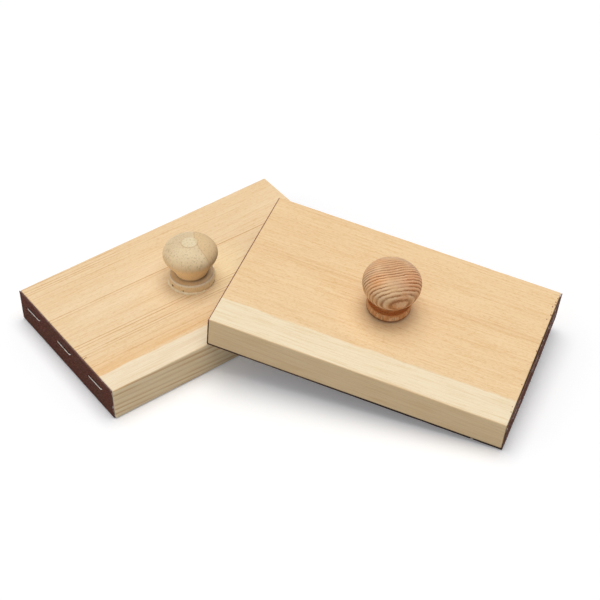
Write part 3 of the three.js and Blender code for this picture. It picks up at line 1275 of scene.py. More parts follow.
@dataclass
class Board:
    """A planed board with worn, eased edges, drilled under its knob and pricked by the staples.

    hole_middle is where along the board the screw's hole lies, and holes are the boxes that the
    staples' legs take out.
    """

    block: Block
    sizes: BlockSizes
    place: Matrix
    fit: SheetFit
    finish: PineFinish
    hole_middle: float
    holes: list[Box]
    nick: Optional[Nick] = None
    ease: float = 0.55 * MM
    ease_steps: int = 4
    cell: float = 2.5 * MM
    dent: float = 0.16 * MM
    dent_size: float = 5 * MM
    drill_radius: float = 2.3 * MM
    sink_radius: float = 4.3 * MM
    sink_depth: float = 2.7 * MM
    drill_segments: int = 32
    overrun: float = 1 * MM
    seed: float = 3.7

    def grid(self, low: float, high: float) -> np.ndarray:
        """Grid lines along one axis, close together where the edges are eased.

        Args:
            low: The lower end.
            high: The higher end.

        Returns:
            The places of the lines.
        """
        curve = self.ease * (1 - np.tan(np.linspace(math.pi / 4, 0, self.ease_steps + 1)))
        count = max(1, round((high - low - 2 * self.ease) / self.cell))
        flat = np.linspace(low + self.ease, high - self.ease, count + 1)
        return np.concatenate([low + curve[:-1], flat, high - curve[-2::-1]])

    def skin(self) -> tuple[np.ndarray, Faces]:
        """The board's six faces as grids, rounded and worn at the edges.

        Returns:
            The points and the faces.
        """
        left, right = (self.sizes.length / 2 + self.fit.board_end(end) for end in End)
        low = np.array([-left, -self.sizes.width / 2, self.sizes.base - self.fit.settle])
        high = np.array([right, self.sizes.width / 2, self.sizes.top])
        lines = [self.grid(a, b) for a, b in zip(low, high)]
        points, faces = [], []
        for axis in range(3):
            one, two = (axis + 1) % 3, (axis + 2) % 3
            for level in (low[axis], high[axis]):
                start = len(points)
                for u in lines[one]:
                    for v in lines[two]:
                        point = np.empty(3)
                        point[[axis, one, two]] = level, u, v
                        points.append(point)
                rows, columns = len(lines[one]), len(lines[two])
                for i in range(rows - 1):
                    for j in range(columns - 1):
                        a = start + i * columns + j
                        faces.append((a, a + columns, a + columns + 1, a + 1))
        flat = np.array(points)
        core = np.clip(flat, low + self.ease, high - self.ease)
        out = flat - core
        reach = np.linalg.norm(out, axis=1)
        worn = [self.wear(point, way / size) for point, way, size in zip(flat, out, reach)]
        depth = self.ease - np.array(worn)
        return core + out / reach[:, None] * depth[:, None], faces

    def wear(self, point: np.ndarray, way: np.ndarray) -> float:
        """How far an eased edge is rubbed down at a point.

        Args:
            point: The point on the plain box.
            way: The way out of the board there, one long.

        Returns:
            The depth, which is 0 on the flat faces.
        """
        turned = (np.abs(way).sum() - 1) / (math.sqrt(2) - 1)
        if turned < MERGE_DISTANCE:
            return 0.0
        return self.dent * turned * max(0.0, wave(point / self.dent_size, self.seed))

    def cutters(self) -> bpy.types.Mesh:
        """What is taken out of the board: the screw's hole, the staples' holes and the nick.

        Returns:
            One mesh of all the shapes.
        """
        bottom = self.sizes.base - self.fit.settle - self.overrun
        sink = self.sizes.base + self.sink_depth
        end = self.sizes.top + self.overrun
        hole = np.array([
            (0, bottom),
            (self.sink_radius, bottom),
            (self.sink_radius, sink - self.sink_radius + self.drill_radius),
            (self.drill_radius, sink),
            (self.drill_radius, end),
            (0, end),
        ])
        points, faces = lathe(hole, self.drill_segments)
        shapes = [(points + np.array([self.hole_middle, 0, 0]), faces)]
        shapes += [box_shape(low, high) for low, high in self.holes]
        if self.nick:
            shapes.append(self.nick.cutter(self.sizes))
        all_points, all_faces = [], []
        for shape_points, shape_faces in shapes:
            start = len(all_points)
            all_points.extend(shape_points.tolist())
            all_faces.extend(tuple(start + i for i in face) for face in shape_faces)
        return closed_mesh("board_cutters", np.array(all_points), all_faces)

    def build(self) -> bpy.types.Object:
        """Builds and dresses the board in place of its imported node.

        Returns:
            The board.
        """
        name = f"{self.block.value}_pine_board"
        piece = add_object(name, closed_mesh(name, *self.skin()))
        tool = add_object("board_cutter", self.cutters())
        cut = piece.modifiers.new("holes", "BOOLEAN")
        cut.operation = "DIFFERENCE"
        cut.object = tool
        cut.solver = "EXACT"
        freeze(piece)
        bpy.data.objects.remove(tool)
        piece.data.transform(self.place)
        smooth(piece.data)
        piece.data.materials.clear()
        piece.data.materials.append(self.finish.material(name, self.place, self.sizes))
        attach(piece, self.block.body)
        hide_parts(f"{self.block.value}_board")
        return piece


# Abrasive sheets

@dataclass(frozen=True)
class StaplePlace:
    """Where one staple goes in, in its block's own frame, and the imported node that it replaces."""

    end: End
    node: str
    across: float
    height: float


GRAIN_SEGMENTS = 5
GRAIN_RINGS = 2
GRITTY_SLOT = 0
PAPER_SLOT = 1


def grain_tree() -> Shaper:
    """A tree that scatters small, sharp grains over the faces that carry the first material.

    Returns:
        The tree.
    """
    tree = Shaper("abrasive_grains")
    density = tree.input("Grains per square metre")
    smallest = tree.input("Smallest radius")
    largest = tree.input("Largest radius")
    seed = tree.input("Seed", "Int")
    material = tree.input("Grain material", "Material")
    keep = tree.input("Keep the sheet", "Bool")
    reach = tree.input("Reach to the sides")
    base = tree.entry.outputs["Mesh"]

    slot = tree.out("GeometryNodeInputMaterialIndex")
    inputs = dict(zip(COMPARED, (slot, GRITTY_SLOT)))
    gritty = tree.out("FunctionNodeCompare", inputs, data_type="INT", operation="EQUAL")
    across = tree.parts(tree.out("GeometryNodeInputPosition"))[1]
    inside = tree.number("LESS_THAN", tree.number("ABSOLUTE", across), reach)
    inputs = {"Mesh": base, "Selection": tree.times(gritty, inside), "Density": density, "Seed": seed}
    points = tree.node("GeometryNodeDistributePointsOnFaces", inputs).outputs["Points"]
    inputs = {"Segments": GRAIN_SEGMENTS, "Rings": GRAIN_RINGS, "Radius": 1.0}
    grain = tree.node("GeometryNodeMeshUVSphere", inputs).outputs["Mesh"]
    grain = tree.out("GeometryNodeSetMaterial", {"Geometry": grain, "Material": material})

    turn = {0: (0.0, 0.0, 0.0), 1: (math.tau, math.tau, math.tau), "Seed": seed}
    turn = tree.out("FunctionNodeRandomValue", turn, data_type="FLOAT_VECTOR")
    inputs = {
        "Points": points,
        "Instance": grain,
        "Rotation": tree.out("FunctionNodeEulerToRotation", {0: turn}),
        "Scale": tree.random(smallest, largest, seed),
    }
    grains = tree.out("GeometryNodeInstanceOnPoints", inputs)

    both = tree.node("GeometryNodeJoinGeometry")
    for joined in (base, grains):
        tree.feed(both.inputs[0], joined)
    inputs = {"Switch": keep, "False": grains, "True": both.outputs[0]}
    tree.end(tree.out("GeometryNodeSwitch", inputs, input_type="GEOMETRY"))
    return tree


@dataclass
class AbrasiveSheet:
    """A sheet of abrasive paper folded under a board and up over both of its ends.

    The paper lies a grain's height, skin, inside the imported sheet, so its grains reach that sheet's
    skin. crown is the staples' width. The flaps' edges are notched and sag by ragged in all, and lip
    is the share of a flap's bow at its edge. A jump gives each end or side a wave of its own.
    """

    block: Block
    sizes: BlockSizes
    place: Matrix
    fit: SheetFit
    paper: PaperEdgeFinish
    staples: list[StaplePlace]
    crown: float
    seed: int
    grit: AbrasiveFinish = AbrasiveFinish()
    grain: GrainFinish = GrainFinish()
    fold: float = 0.95 * MM
    skin: float = 0.24 * MM
    flap_step: float = 0.75 * MM
    under_step: float = 2 * MM
    flap_blend: float = 4.0
    fold_steps: int = 7
    across_step: float = 1 * MM
    ragged: float = 0.35 * MM
    notch_share: float = 0.45
    notch_size: float = 1.7 * MM
    notch_jump: float = 9.0
    sag_size: float = 15 * MM
    sag_jump: float = 5.0
    frayed: float = 0.2 * MM
    fray_rate: float = 0.31
    fray_jump: float = 7.0
    ripple: float = 0.07 * MM
    ripple_size: float = 14 * MM
    lip: float = 0.7
    dimple_reach: float = 1.1 * MM
    grain_density: float = 0.62 / MM**2
    grain_smallest: float = 0.1 * MM
    grain_largest: float = 0.22 * MM

    def outline(self) -> tuple[np.ndarray, np.ndarray, np.ndarray]:
        """The sheet's skin along the board, from the left flap's top round to the right one's.

        Returns:
            The points as X and Z, the ways out of the sheet, and each point's share of its
            flap's height, which is 0 below the flaps.
        """
        turn = self.fold
        left, right = (self.sizes.outer_length / 2 + self.fit.ends[end] for end in End)
        flap = np.linspace(1, 0, round((self.sizes.top - turn) / self.flap_step) + 1)
        under_count = round((left + right - 2 * turn) / self.under_step)
        under = np.linspace(turn - left, right - turn, under_count + 1)
        angle = np.linspace(0, math.pi / 2, self.fold_steps + 1)[1:-1]
        fold_way = np.stack([-np.cos(angle), -np.sin(angle)], axis=1)
        flap_points = np.stack([np.zeros_like(flap), turn + flap * (self.sizes.top - turn)], axis=1)
        side = np.concatenate([flap_points, turn + fold_way * turn])
        side_way = np.concatenate([np.tile([-1.0, 0.0], (len(flap), 1)), fold_way])
        side_share = np.concatenate([flap, np.zeros(len(angle))])
        mirror = np.array([-1.0, 1.0])
        middle = np.stack([under, np.zeros_like(under)], axis=1)
        down = np.tile([0.0, -1.0], (len(under), 1))
        points = np.concatenate([side - (left, 0), middle, (side * mirror + (right, 0))[::-1]])
        ways = np.concatenate([side_way, down, (side_way * mirror)[::-1]])
        return points, ways, np.concatenate([side_share, np.zeros(len(under)), side_share[::-1]])

    def bulge(self, end: End, across: float, height: float) -> float:
        """How far a flap stands out from its flat place.

        Args:
            end: The flap's end of the block.
            across: The place across the block.
            height: The height above the sheet's underside.

        Returns:
            The distance out of the end.
        """
        row = self.staples[0].height
        inner = math.cos(math.pi * across / self.sizes.width)
        if height < row:
            belly = math.sin(math.pi * height / row)
        else:
            belly = self.lip * (height - row) / (self.sizes.top - row)
        bow = self.fit.bows[end] * belly * inner
        out = bow
        for staple in self.staples:
            if staple.end is end:
                beyond = max(0.0, abs(across - staple.across) - self.crown / 2)
                away = math.hypot(beyond, height - staple.height) / self.dimple_reach
                out -= (self.fit.staple_sink + bow) * math.exp(-away * away)
        return out

    def layers(self) -> tuple[np.ndarray, np.ndarray]:
        """The gritty skin and the paper's back as two grids of points.

        Returns:
            The outer and the inner grid, with the outline's steps first and the width second.
        """
        line, ways, shares = self.outline()
        columns = np.linspace(-1, 1, round(self.sizes.width / self.across_step) + 1)
        outer = np.empty((len(line), len(columns), 3))
        inner = np.empty_like(outer)
        for i, ((x, z), (way_x, way_z), share) in enumerate(zip(line, ways, shares)):
            end = End.RIGHT if x > 0 else End.LEFT
            flap = min(1.0, self.flap_blend * share)
            thickness = self.fit.under + flap * (self.fit.flaps[end] - self.fit.under)
            for j, column in enumerate(columns):
                side = math.copysign(1.0, column)
                fray = abs(wave((i * self.fray_rate, side * self.fray_jump), self.seed))
                inset = self.frayed * fray + self.fit.front_inset * (column < 0)
                across = column * (self.sizes.width / 2 - inset)
                height = z
                spot = (x / self.ripple_size, across / self.ripple_size, z / MM)
                out = self.ripple * wave(spot, self.seed)
                if share > 0:
                    notch = 1 + wave((across / self.notch_size, end.value * self.notch_jump), self.seed)
                    sag = 1 + wave((across / self.sag_size, end.value * self.sag_jump), self.seed)
                    uneven = (self.notch_share * notch + (1 - self.notch_share) * sag) / 2
                    height = z - share * (self.fit.drops[end] + self.ragged * uneven)
                    out += self.bulge(end, across, height)
                for grid, depth in ((outer, self.skin), (inner, self.skin + thickness)):
                    move = min(out, 0.0) - depth if share == 0 else out - depth
                    grid[i, j] = (x + way_x * move, across, height + way_z * move)
        return outer, inner

    def build(self, grains: Shaper) -> bpy.types.Object:
        """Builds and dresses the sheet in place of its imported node.

        Args:
            grains: The tree that scatters the grains.

        Returns:
            The sheet.
        """
        name = f"{self.block.value}_abrasive_paper"
        outer, inner = self.layers()
        rows, columns = outer.shape[:2]
        count = rows * columns
        quads = [
            (i * columns + j, (i + 1) * columns + j, (i + 1) * columns + j + 1, i * columns + j + 1)
            for i in range(rows - 1)
            for j in range(columns - 1)
        ]
        rim = [i * columns for i in range(rows)]
        rim += [(rows - 1) * columns + j for j in range(1, columns)]
        rim += [i * columns + columns - 1 for i in range(rows - 2, -1, -1)]
        rim += list(range(columns - 2, 0, -1))
        edges = [(a, b, b + count, a + count) for a, b in zip(rim, rim[1:] + rim[:1])]
        faces = quads + [tuple(count + i for i in reversed(quad)) for quad in quads] + edges
        points = np.concatenate([outer.reshape(-1, 3), inner.reshape(-1, 3)])
        mesh = closed_mesh(name, points, faces, merge=False)
        mesh.materials.append(self.grit.material(f"{name}_grit", self.place))
        mesh.materials.append(self.paper.material(f"{name}_edge", self.place))
        slots = [GRITTY_SLOT] * len(quads) + [PAPER_SLOT] * (len(faces) - len(quads))
        mesh.polygons.foreach_set("material_index", slots)
        smooth(mesh)
        piece = add_object(name, mesh)
        grains.shape(piece, {
            "Grains per square metre": self.grain_density,
            "Smallest radius": self.grain_smallest,
            "Largest radius": self.grain_largest,
            "Seed": self.seed,
            "Grain material": self.grain.material(f"{name}_grain", self.place),
            "Keep the sheet": True,
            "Reach to the sides": self.sizes.width / 2 - self.frayed - self.across_step,
        })
        piece.data.transform(self.place)
        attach(piece, self.block.body)
        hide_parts(f"{self.block.value}_abrasive_sheet")
        return piece


# Staples

STAPLE_POINTS = 4
BEND_STEPS = 5
WIRE_EASE = 0.3
WIRE_EASE_STEPS = 2
INDEX_SLACK = 0.1


def staple_tree() -> Shaper:
    """A tree that drives one wire staple at each point of a mesh, turned as the point says.

    Returns:
        The tree.
    """
    tree = Shaper("wire_staples")
    crown = tree.input("Crown")
    leg = tree.input("Leg")
    wide = tree.input("Wire width")
    thick = tree.input("Wire thickness")
    bend = tree.input("Bend radius")
    tilt = tree.input("Tilt")
    seed = tree.input("Seed", "Int")
    material = tree.input("Wire", "Material")

    line = tree.out("GeometryNodeCurvePrimitiveLine")
    line = tree.out("GeometryNodeResampleCurve", {"Curve": line, "Count": STAPLE_POINTS})
    index = tree.out("GeometryNodeInputIndex")
    last = STAPLE_POINTS - 1
    tip = tree.number("COMPARE", tree.number("MODULO", index, last), 0.0, INDEX_SLACK)
    back = tree.number("GREATER_THAN", index, last / 2)
    inputs = {"X": tree.times(tip, leg, -1.0), "Y": tree.times(tree.minus(back, 1 / 2), crown)}
    corner = tree.out("ShaderNodeCombineXYZ", inputs)
    line = tree.out("GeometryNodeSetPosition", {"Geometry": line, "Position": corner})
    inputs = {"Curve": line, "Radius": bend, "Count": BEND_STEPS}
    line = tree.out("GeometryNodeFilletCurve", inputs, mode="POLY")
    inputs = {"Width": thick, "Height": wide}
    section = tree.out("GeometryNodeCurvePrimitiveQuadrilateral", inputs)
    inputs = {"Curve": section, "Radius": tree.times(thick, WIRE_EASE), "Count": WIRE_EASE_STEPS}
    section = tree.out("GeometryNodeFilletCurve", inputs, mode="POLY")
    inputs = {"Curve": line, "Profile Curve": section, "Fill Caps": True}
    wire = tree.out("GeometryNodeCurveToMesh", inputs)

    turn = tree.out("GeometryNodeInputNamedAttribute", {"Name": "turn"}, data_type="FLOAT")
    lean = tree.random(tree.times(tilt, -1.0), tilt, seed)
    angles = tree.out("ShaderNodeCombineXYZ", {"X": lean, "Z": turn})
    turned = tree.out("FunctionNodeEulerToRotation", {0: angles})
    inputs = {"Points": tree.entry.outputs["Mesh"], "Instance": wire, "Rotation": turned}
    tree.end(tree.out("GeometryNodeInstanceOnPoints", inputs), material)
    return tree


@dataclass
class StapleRows:
    """The fine-wire staples that hold a sheet to both ends of its board.

    leg is how far they reach in. seen_wire is the wire's width, and flatten its thickness as a
    share of that.
    """

    block: Block
    sizes: BlockSizes
    place: Matrix
    fit: SheetFit
    finish: SteelFinish
    places: list[StaplePlace]
    crown: float
    leg: float
    seed: int
    seen_wire: float = 0.5 * MM
    flatten: float = 0.8
    bend: float = 0.7 * MM
    tilt: float = math.radians(3.5)

    def build(self, tree: Shaper) -> bpy.types.Object:
        """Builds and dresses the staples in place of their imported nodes.

        Args:
            tree: The tree that makes a staple at each place.

        Returns:
            All the block's staples as one piece.
        """
        name = f"{self.block.value}_staples"
        thickness = self.seen_wire * self.flatten
        face = self.sizes.outer_length / 2 + thickness / 2 - self.fit.staple_sink
        points = [
            (place.end.value * (face + self.fit.ends[place.end]), place.across, place.height)
            for place in self.places
        ]
        mesh = new_mesh(name, points, [])
        turns = mesh.attributes.new("turn", "FLOAT", "POINT")
        turns.data.foreach_set("value", [math.pi * (place.end is End.LEFT) for place in self.places])
        piece = add_object(name, mesh)
        tree.shape(piece, {
            "Crown": self.crown - thickness,
            "Leg": self.leg,
            "Wire width": self.seen_wire,
            "Wire thickness": thickness,
            "Bend radius": self.bend,
            "Tilt": self.tilt,
            "Seed": self.seed,
            "Wire": self.finish.material(f"{name}_wire", self.place),
        })
        piece.data.transform(self.place)
        smooth(piece.data)
        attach(piece, self.block.body)
        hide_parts(*[place.node for place in self.places])
        return piece


# Knobs

@dataclass(frozen=True)
class KnobShape:
    """The outline of a turned knob. Heights are above the knob's foot.

    From below it has a bore for the screw, a foot that tapers to a shoulder, a hollow cove, a
    groove at the waist, a neck that flares into the ball, and a flat top, which may be a raised
    disc. A fullness is how far a curve's handle reaches along its part of the outline.
    """

    foot_radius: float
    groove_height: float
    ball_radius: float
    ball_rise: float
    height: float
    disc_step: float
    disc_ease: float
    neck_flare: float
    neck_fullness: float
    under_fullness: float
    waist_radius: float = 8.1 * MM
    foot_height: float = 4.4 * MM
    foot_taper: float = 1.2 * MM
    foot_ease: float = 1 * MM
    foot_fullness: float = 0.7
    rim_ease: float = 0.4 * MM
    cove_depth: float = 0.15 * MM
    groove_depth: float = 0.7 * MM
    flat_radius: float = 4.2 * MM
    crown_fullness: float = 0.52
    bore_radius: float = 2.3 * MM
    bore_depth: float = 14.3 * MM
    mark_depth: float = 0.012 * MM
    mark_pitch: float = 1.3 * MM
    base_steps: int = 6
    foot_steps: int = 10
    rim_steps: int = 5
    groove_steps: int = 8
    ball_steps: int = 44
    top_steps: int = 8

    def outline(self) -> np.ndarray:
        """The turned outline, from the bore's end on the axis round to the top on the axis.

        Returns:
            Rows of radius and height.
        """
        foot, waist = self.foot_radius, self.foot_height + self.groove_height
        shoulder = foot - self.foot_taper
        under, crown = self.ball_rise - waist, self.height - self.ball_rise
        brim = self.height - self.disc_step
        full_radius = self.flat_radius + (self.ball_radius - self.flat_radius) * self.crown_fullness
        bore = (self.bore_radius, 0)
        sole = (foot - self.foot_ease, 0)
        side = (foot, self.foot_ease)
        rim = (shoulder + self.rim_ease, self.foot_height - self.rim_ease)
        rim_out = (shoulder + self.rim_ease / 2, self.foot_height)
        foot_top = (shoulder, self.foot_height)
        cove = ((shoulder + self.waist_radius) / 2, self.foot_height - 2 * self.cove_depth)
        groove = (self.waist_radius, self.foot_height)
        groove_radius = self.waist_radius - 2 * self.groove_depth
        groove_in = (groove_radius, self.foot_height + self.groove_height / 2)
        neck = (self.waist_radius, waist)
        neck_out = (self.waist_radius + self.neck_flare, waist + self.neck_fullness * under)
        ball_under = (self.ball_radius, self.ball_rise - self.under_fullness * under)
        ball = (self.ball_radius, self.ball_rise)
        ball_over = (self.ball_radius, self.ball_rise + self.crown_fullness * crown)
        edge = (self.flat_radius + self.disc_ease, brim)
        parts = [
            np.array([(0, self.bore_depth), (self.bore_radius, self.bore_depth), bore]),
            bezier(bore, sole, steps=self.base_steps),
            bezier(sole, (foot, 0), side, steps=self.base_steps),
            bezier(side, (foot, self.foot_fullness * self.foot_height), rim, steps=self.foot_steps),
            bezier(rim, rim_out, foot_top, steps=self.rim_steps),
            bezier(foot_top, cove, groove, steps=self.foot_steps),
            bezier(groove, groove_in, neck, steps=self.groove_steps),
            bezier(neck, neck_out, ball_under, ball, steps=self.ball_steps),
            bezier(ball, ball_over, (full_radius, brim), edge, steps=self.ball_steps),
        ]
        if self.disc_step:
            disc = (self.flat_radius, self.height)
            parts.append(bezier(edge, (self.flat_radius, brim), disc, steps=self.rim_steps))
        parts.append(bezier(tuple(parts[-1][-1]), (0, self.height), steps=self.top_steps))
        return self.marked(np.concatenate(parts))

    def marked(self, line: np.ndarray) -> np.ndarray:
        """The outline with faint marks of the turning tool.

        Args:
            line: Rows of radius and height.

        Returns:
            The outline with the marks in its radii.
        """
        steps = np.linalg.norm(np.diff(line, axis=0), axis=1)
        run = np.concatenate([[0], np.cumsum(steps)])
        outside = line[:, 0] > self.flat_radius + self.disc_ease
        marks = self.mark_depth * np.sin(run * math.tau / self.mark_pitch) * outside
        cut = line.copy()
        cut[:, 0] -= np.maximum(marks, 0)
        return cut


@dataclass
class Knob:
    """A turned wooden knob on the middle of a board."""

    block: Block
    place: Matrix
    shape: KnobShape
    finish: Finish
    slot: str
    segments: int = 144

    def build(self) -> bpy.types.Object:
        """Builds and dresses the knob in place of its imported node.

        Returns:
            The knob.
        """
        name = f"{self.block.value}_turned_knob"
        piece = add_object(name, closed_mesh(name, *lathe(self.shape.outline(), self.segments)))
        piece.data.transform(self.place)
        smooth(piece.data)
        piece.data.materials.append(self.finish.material(name, self.place))
        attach(piece, self.block.body)
        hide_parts(f"{self.block.value}_knob")
        return piece


BEAD_STEPS = 180
BEAD_SIDES = 10
BEAD_LUMP_DETAIL = 2.0
BEAD_LUMP_LIMITS = (0.35, 0.68)
BEAD_PULL = 0.5


def bead_tree() -> Shaper:
    """A tree that lays an uneven bead along a ring about the Z axis.

    Returns:
        The tree.
    """
    tree = Shaper("glue_bead")
    ring = tree.input("Ring radius")
    thin = tree.input("Thinnest")
    thick = tree.input("Thickest")
    lump = tree.input("Lumps per metre")
    heavy = tree.input("Heavy side", "Vector")
    material = tree.input("Glue", "Material")

    line = tree.out("GeometryNodeCurvePrimitiveCircle", {"Radius": ring, "Resolution": BEAD_STEPS})
    spot = tree.out("GeometryNodeInputPosition")
    inputs = {"Vector": spot, "Scale": lump, "Detail": BEAD_LUMP_DETAIL}
    lumps = tree.out("ShaderNodeTexNoise", inputs)
    way = tree.vector("DOT_PRODUCT", tree.vector("NORMALIZE", spot), heavy)
    lowest, highest = BEAD_LUMP_LIMITS
    inputs = {
        "Value": tree.plus(tree.times(way, BEAD_PULL), lumps),
        "From Min": lowest,
        "From Max": highest,
        "To Min": thin,
        "To Max": thick,
    }
    size = tree.out("ShaderNodeMapRange", inputs)
    section = tree.out("GeometryNodeCurvePrimitiveCircle", {"Radius": 1.0, "Resolution": BEAD_SIDES})
    inputs = {"Curve": line, "Profile Curve": section, "Scale": size}
    tree.end(tree.out("GeometryNodeCurveToMesh", inputs), material)
    return tree


@dataclass
class GlueBead:
    """The dried glue that was squeezed out round a knob's foot, mostly on its heavy side."""

    block: Block
    place: Matrix
    foot_radius: float
    finish: GlueFinish
    inset: float = 0.15 * MM
    rise: float = 0.1 * MM
    thinnest: float = 0.08 * MM
    thickest: float = 0.95 * MM
    lumps: float = 260.0
    heavy: Triple = (-1.0, 0.0, 0.0)

    def build(self, tree: Shaper) -> bpy.types.Object:
        """Builds and dresses the bead.

        Args:
            tree: The tree that lays it.

        Returns:
            The bead.
        """
        name = f"{self.block.value}_knob_glue"
        piece = add_object(name, bpy.data.meshes.new(name))
        tree.shape(piece, {
            "Ring radius": self.foot_radius - self.inset,
            "Thinnest": self.thinnest,
            "Thickest": self.thickest,
            "Lumps per metre": self.lumps,
            "Heavy side": self.heavy,
            "Glue": self.finish.material(name, self.place),
        })
        piece.data.transform(self.place @ Matrix.Translation((0, 0, self.rise)))
        smooth(piece.data)
        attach(piece, self.block.body)
        return piece


# Blocks

@dataclass
class Crumbs:
    """Grains that have rubbed off a sheet and lie in a strip of the board by its end."""

    block: Block
    sizes: BlockSizes
    place: Matrix
    end: End
    finish: GrainFinish = GrainFinish(dark=rgb(128, 70, 50), pale=rgb(172, 108, 78))
    inset: float = 0.35 * MM
    strip: float = 1.5 * MM
    reach: float = 0.9
    density: float = 0.11 / MM**2
    smallest: float = 0.22 * MM
    largest: float = 0.5 * MM
    seed: int = 4

    def build(self, grains: Shaper) -> bpy.types.Object:
        """Scatters the crumbs over a narrow strip of the board's top.

        Args:
            grains: The tree that scatters grains.

        Returns:
            The crumbs.
        """
        name = f"{self.block.value}_grit_crumbs"
        outer = self.end.value * (self.sizes.length / 2 - self.inset)
        inner = outer - self.end.value * self.strip
        half, top = self.reach * self.sizes.width / 2, self.sizes.top
        corners = [(inner, -half, top), (outer, -half, top), (outer, half, top), (inner, half, top)]
        piece = add_object(name, new_mesh(name, corners, [(0, 1, 2, 3)]))
        grains.shape(piece, {
            "Grains per square metre": self.density,
            "Smallest radius": self.smallest,
            "Largest radius": self.largest,
            "Seed": self.seed,
            "Grain material": self.finish.material(name, self.place),
            "Keep the sheet": False,
            "Reach to the sides": self.sizes.width / 2,
        })
        piece.data.transform(self.place)
        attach(piece, self.block.body)
        return piece


@dataclass
class SandBlock:
    """One block of the pair: its board, sheet, staples, knob and what clings to them."""

    block: Block
    sizes: BlockSizes
    place: Matrix
    nodes: dict[str, bpy.types.Object]
    pine: PineFinish
    knob_shape: KnobShape
    knob_finish: Finish
    knob_slot: str
    fit: SheetFit
    paper: PaperEdgeFinish
    steel: SteelFinish
    seed: int
    nick: Optional[Nick] = None
    glue: Optional[GlueFinish] = None
    crumb_end: Optional[End] = None
    screw: SteelFinish = SteelFinish(bright=rgb(206, 200, 184), dull=rgb(158, 150, 132))
    staple_clearance: float = 0.3 * MM
    staples: list[StaplePlace] = field(default_factory=list)

    def box(self, part: str) -> Box:
        """The box of one of the block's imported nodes, in the block's own frame.

        Args:
            part: How the node's name ends.

        Returns:
            The lowest and the highest corner.
        """
        turn = self.place.inverted()
        node = self.nodes[f"{self.block.value}_{part}"]
        points = np.array([turn @ vertex.co for vertex in node.data.vertices])
        return Vector(points.min(axis=0)), Vector(points.max(axis=0))

    def read_staples(self) -> Triple:
        """Reads the staples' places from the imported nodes.

        Returns:
            The staples' crown, leg and wire sizes.
        """
        for end in End:
            for across in Across:
                part = f"staple_{end.name.lower()}_{across.value}"
                low, high = self.box(part)
                middle = (low + high) / 2
                node = f"{self.block.value}_{part}"
                self.staples.append(StaplePlace(end, node, middle.y, middle.z))
        return high.y - low.y, high.x - low.x, high.z - low.z

    def leg_holes(self, crown: float, leg: float, wire: float) -> list[Box]:
        """The boxes that the staples' legs take out of the board.

        Args:
            crown: The staples' outer width.
            leg: How far a staple reaches in from its crown's outside.
            wire: How thick the wire is.

        Returns:
            The lowest and highest corner of each box.
        """
        half = wire / 2 + self.staple_clearance
        outside = self.sizes.outer_length / 2
        holes = []
        for staple in self.staples:
            for side in (-1, 1):
                across = staple.across + side * (crown - wire) / 2
                ends = sorted(staple.end.value * reach for reach in (outside - leg, outside + wire))
                low = Vector((ends[0], across - half, staple.height - half))
                high = Vector((ends[1], across + half, staple.height + half))
                holes.append((low, high))
        return holes

    def build(self, grains: Shaper, wires: Shaper, beads: Shaper) -> list[bpy.types.Object]:
        """Builds the block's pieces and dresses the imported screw, which stays.

        Args:
            grains: The tree that scatters abrasive grains.
            wires: The tree that makes staples.
            beads: The tree that lays a bead of glue.

        Returns:
            The pieces.
        """
        crown, leg, wire = self.read_staples()
        foot_low, foot_high = self.box("knob")
        middle = (foot_low.x + foot_high.x) / 2
        knob_place = self.place @ Matrix.Translation((middle, 0, foot_low.z))
        holes = self.leg_holes(crown, leg, wire)
        shared = (self.block, self.sizes, self.place, self.fit)
        pieces = [
            Board(*shared, self.pine, middle, holes, self.nick).build(),
            AbrasiveSheet(*shared, self.paper, self.staples, crown, self.seed).build(grains),
            StapleRows(*shared, self.steel, self.staples, crown, leg, self.seed).build(wires),
            Knob(self.block, knob_place, self.knob_shape, self.knob_finish, self.knob_slot).build(),
        ]
        if self.glue:
            board_place = self.place @ Matrix.Translation((middle, 0, self.sizes.top))
            bead = GlueBead(self.block, board_place, self.knob_shape.foot_radius, self.glue)
            pieces.append(bead.build(beads))
        if self.crumb_end:
            crumbs = Crumbs(self.block, self.sizes, self.place, self.crumb_end)
            pieces.append(crumbs.build(grains))
        screw = self.nodes[f"{self.block.value}_knob_screw"]
        screw.data.materials[0] = self.screw.material(f"{screw.name}_steel", self.place)
        return pieces


# Studio

@dataclass(frozen=True)
class Lamp:
    """A soft, far lamp. Its light is a share of full daylight, and its angles are in degrees."""

    name: str
    share: float
    color: Triple
    spread: float
    turn: float
    height: float

    def build(self) -> None:
        """Hangs the lamp so that it shines from its turn about Z and its height above the floor."""
        lamp = bpy.data.lights.new(self.name, "SUN")
        lamp.energy = math.pi * self.share
        lamp.color = self.color
        lamp.angle = math.radians(self.spread)
        turn, height = math.radians(self.turn), math.radians(self.height)
        level = math.cos(height)
        toward = Vector((level * math.cos(turn), level * math.sin(turn), math.sin(height)))
        made = add_object(self.name, lamp)
        made.rotation_euler = toward.to_track_quat("Z", "Y").to_euler()


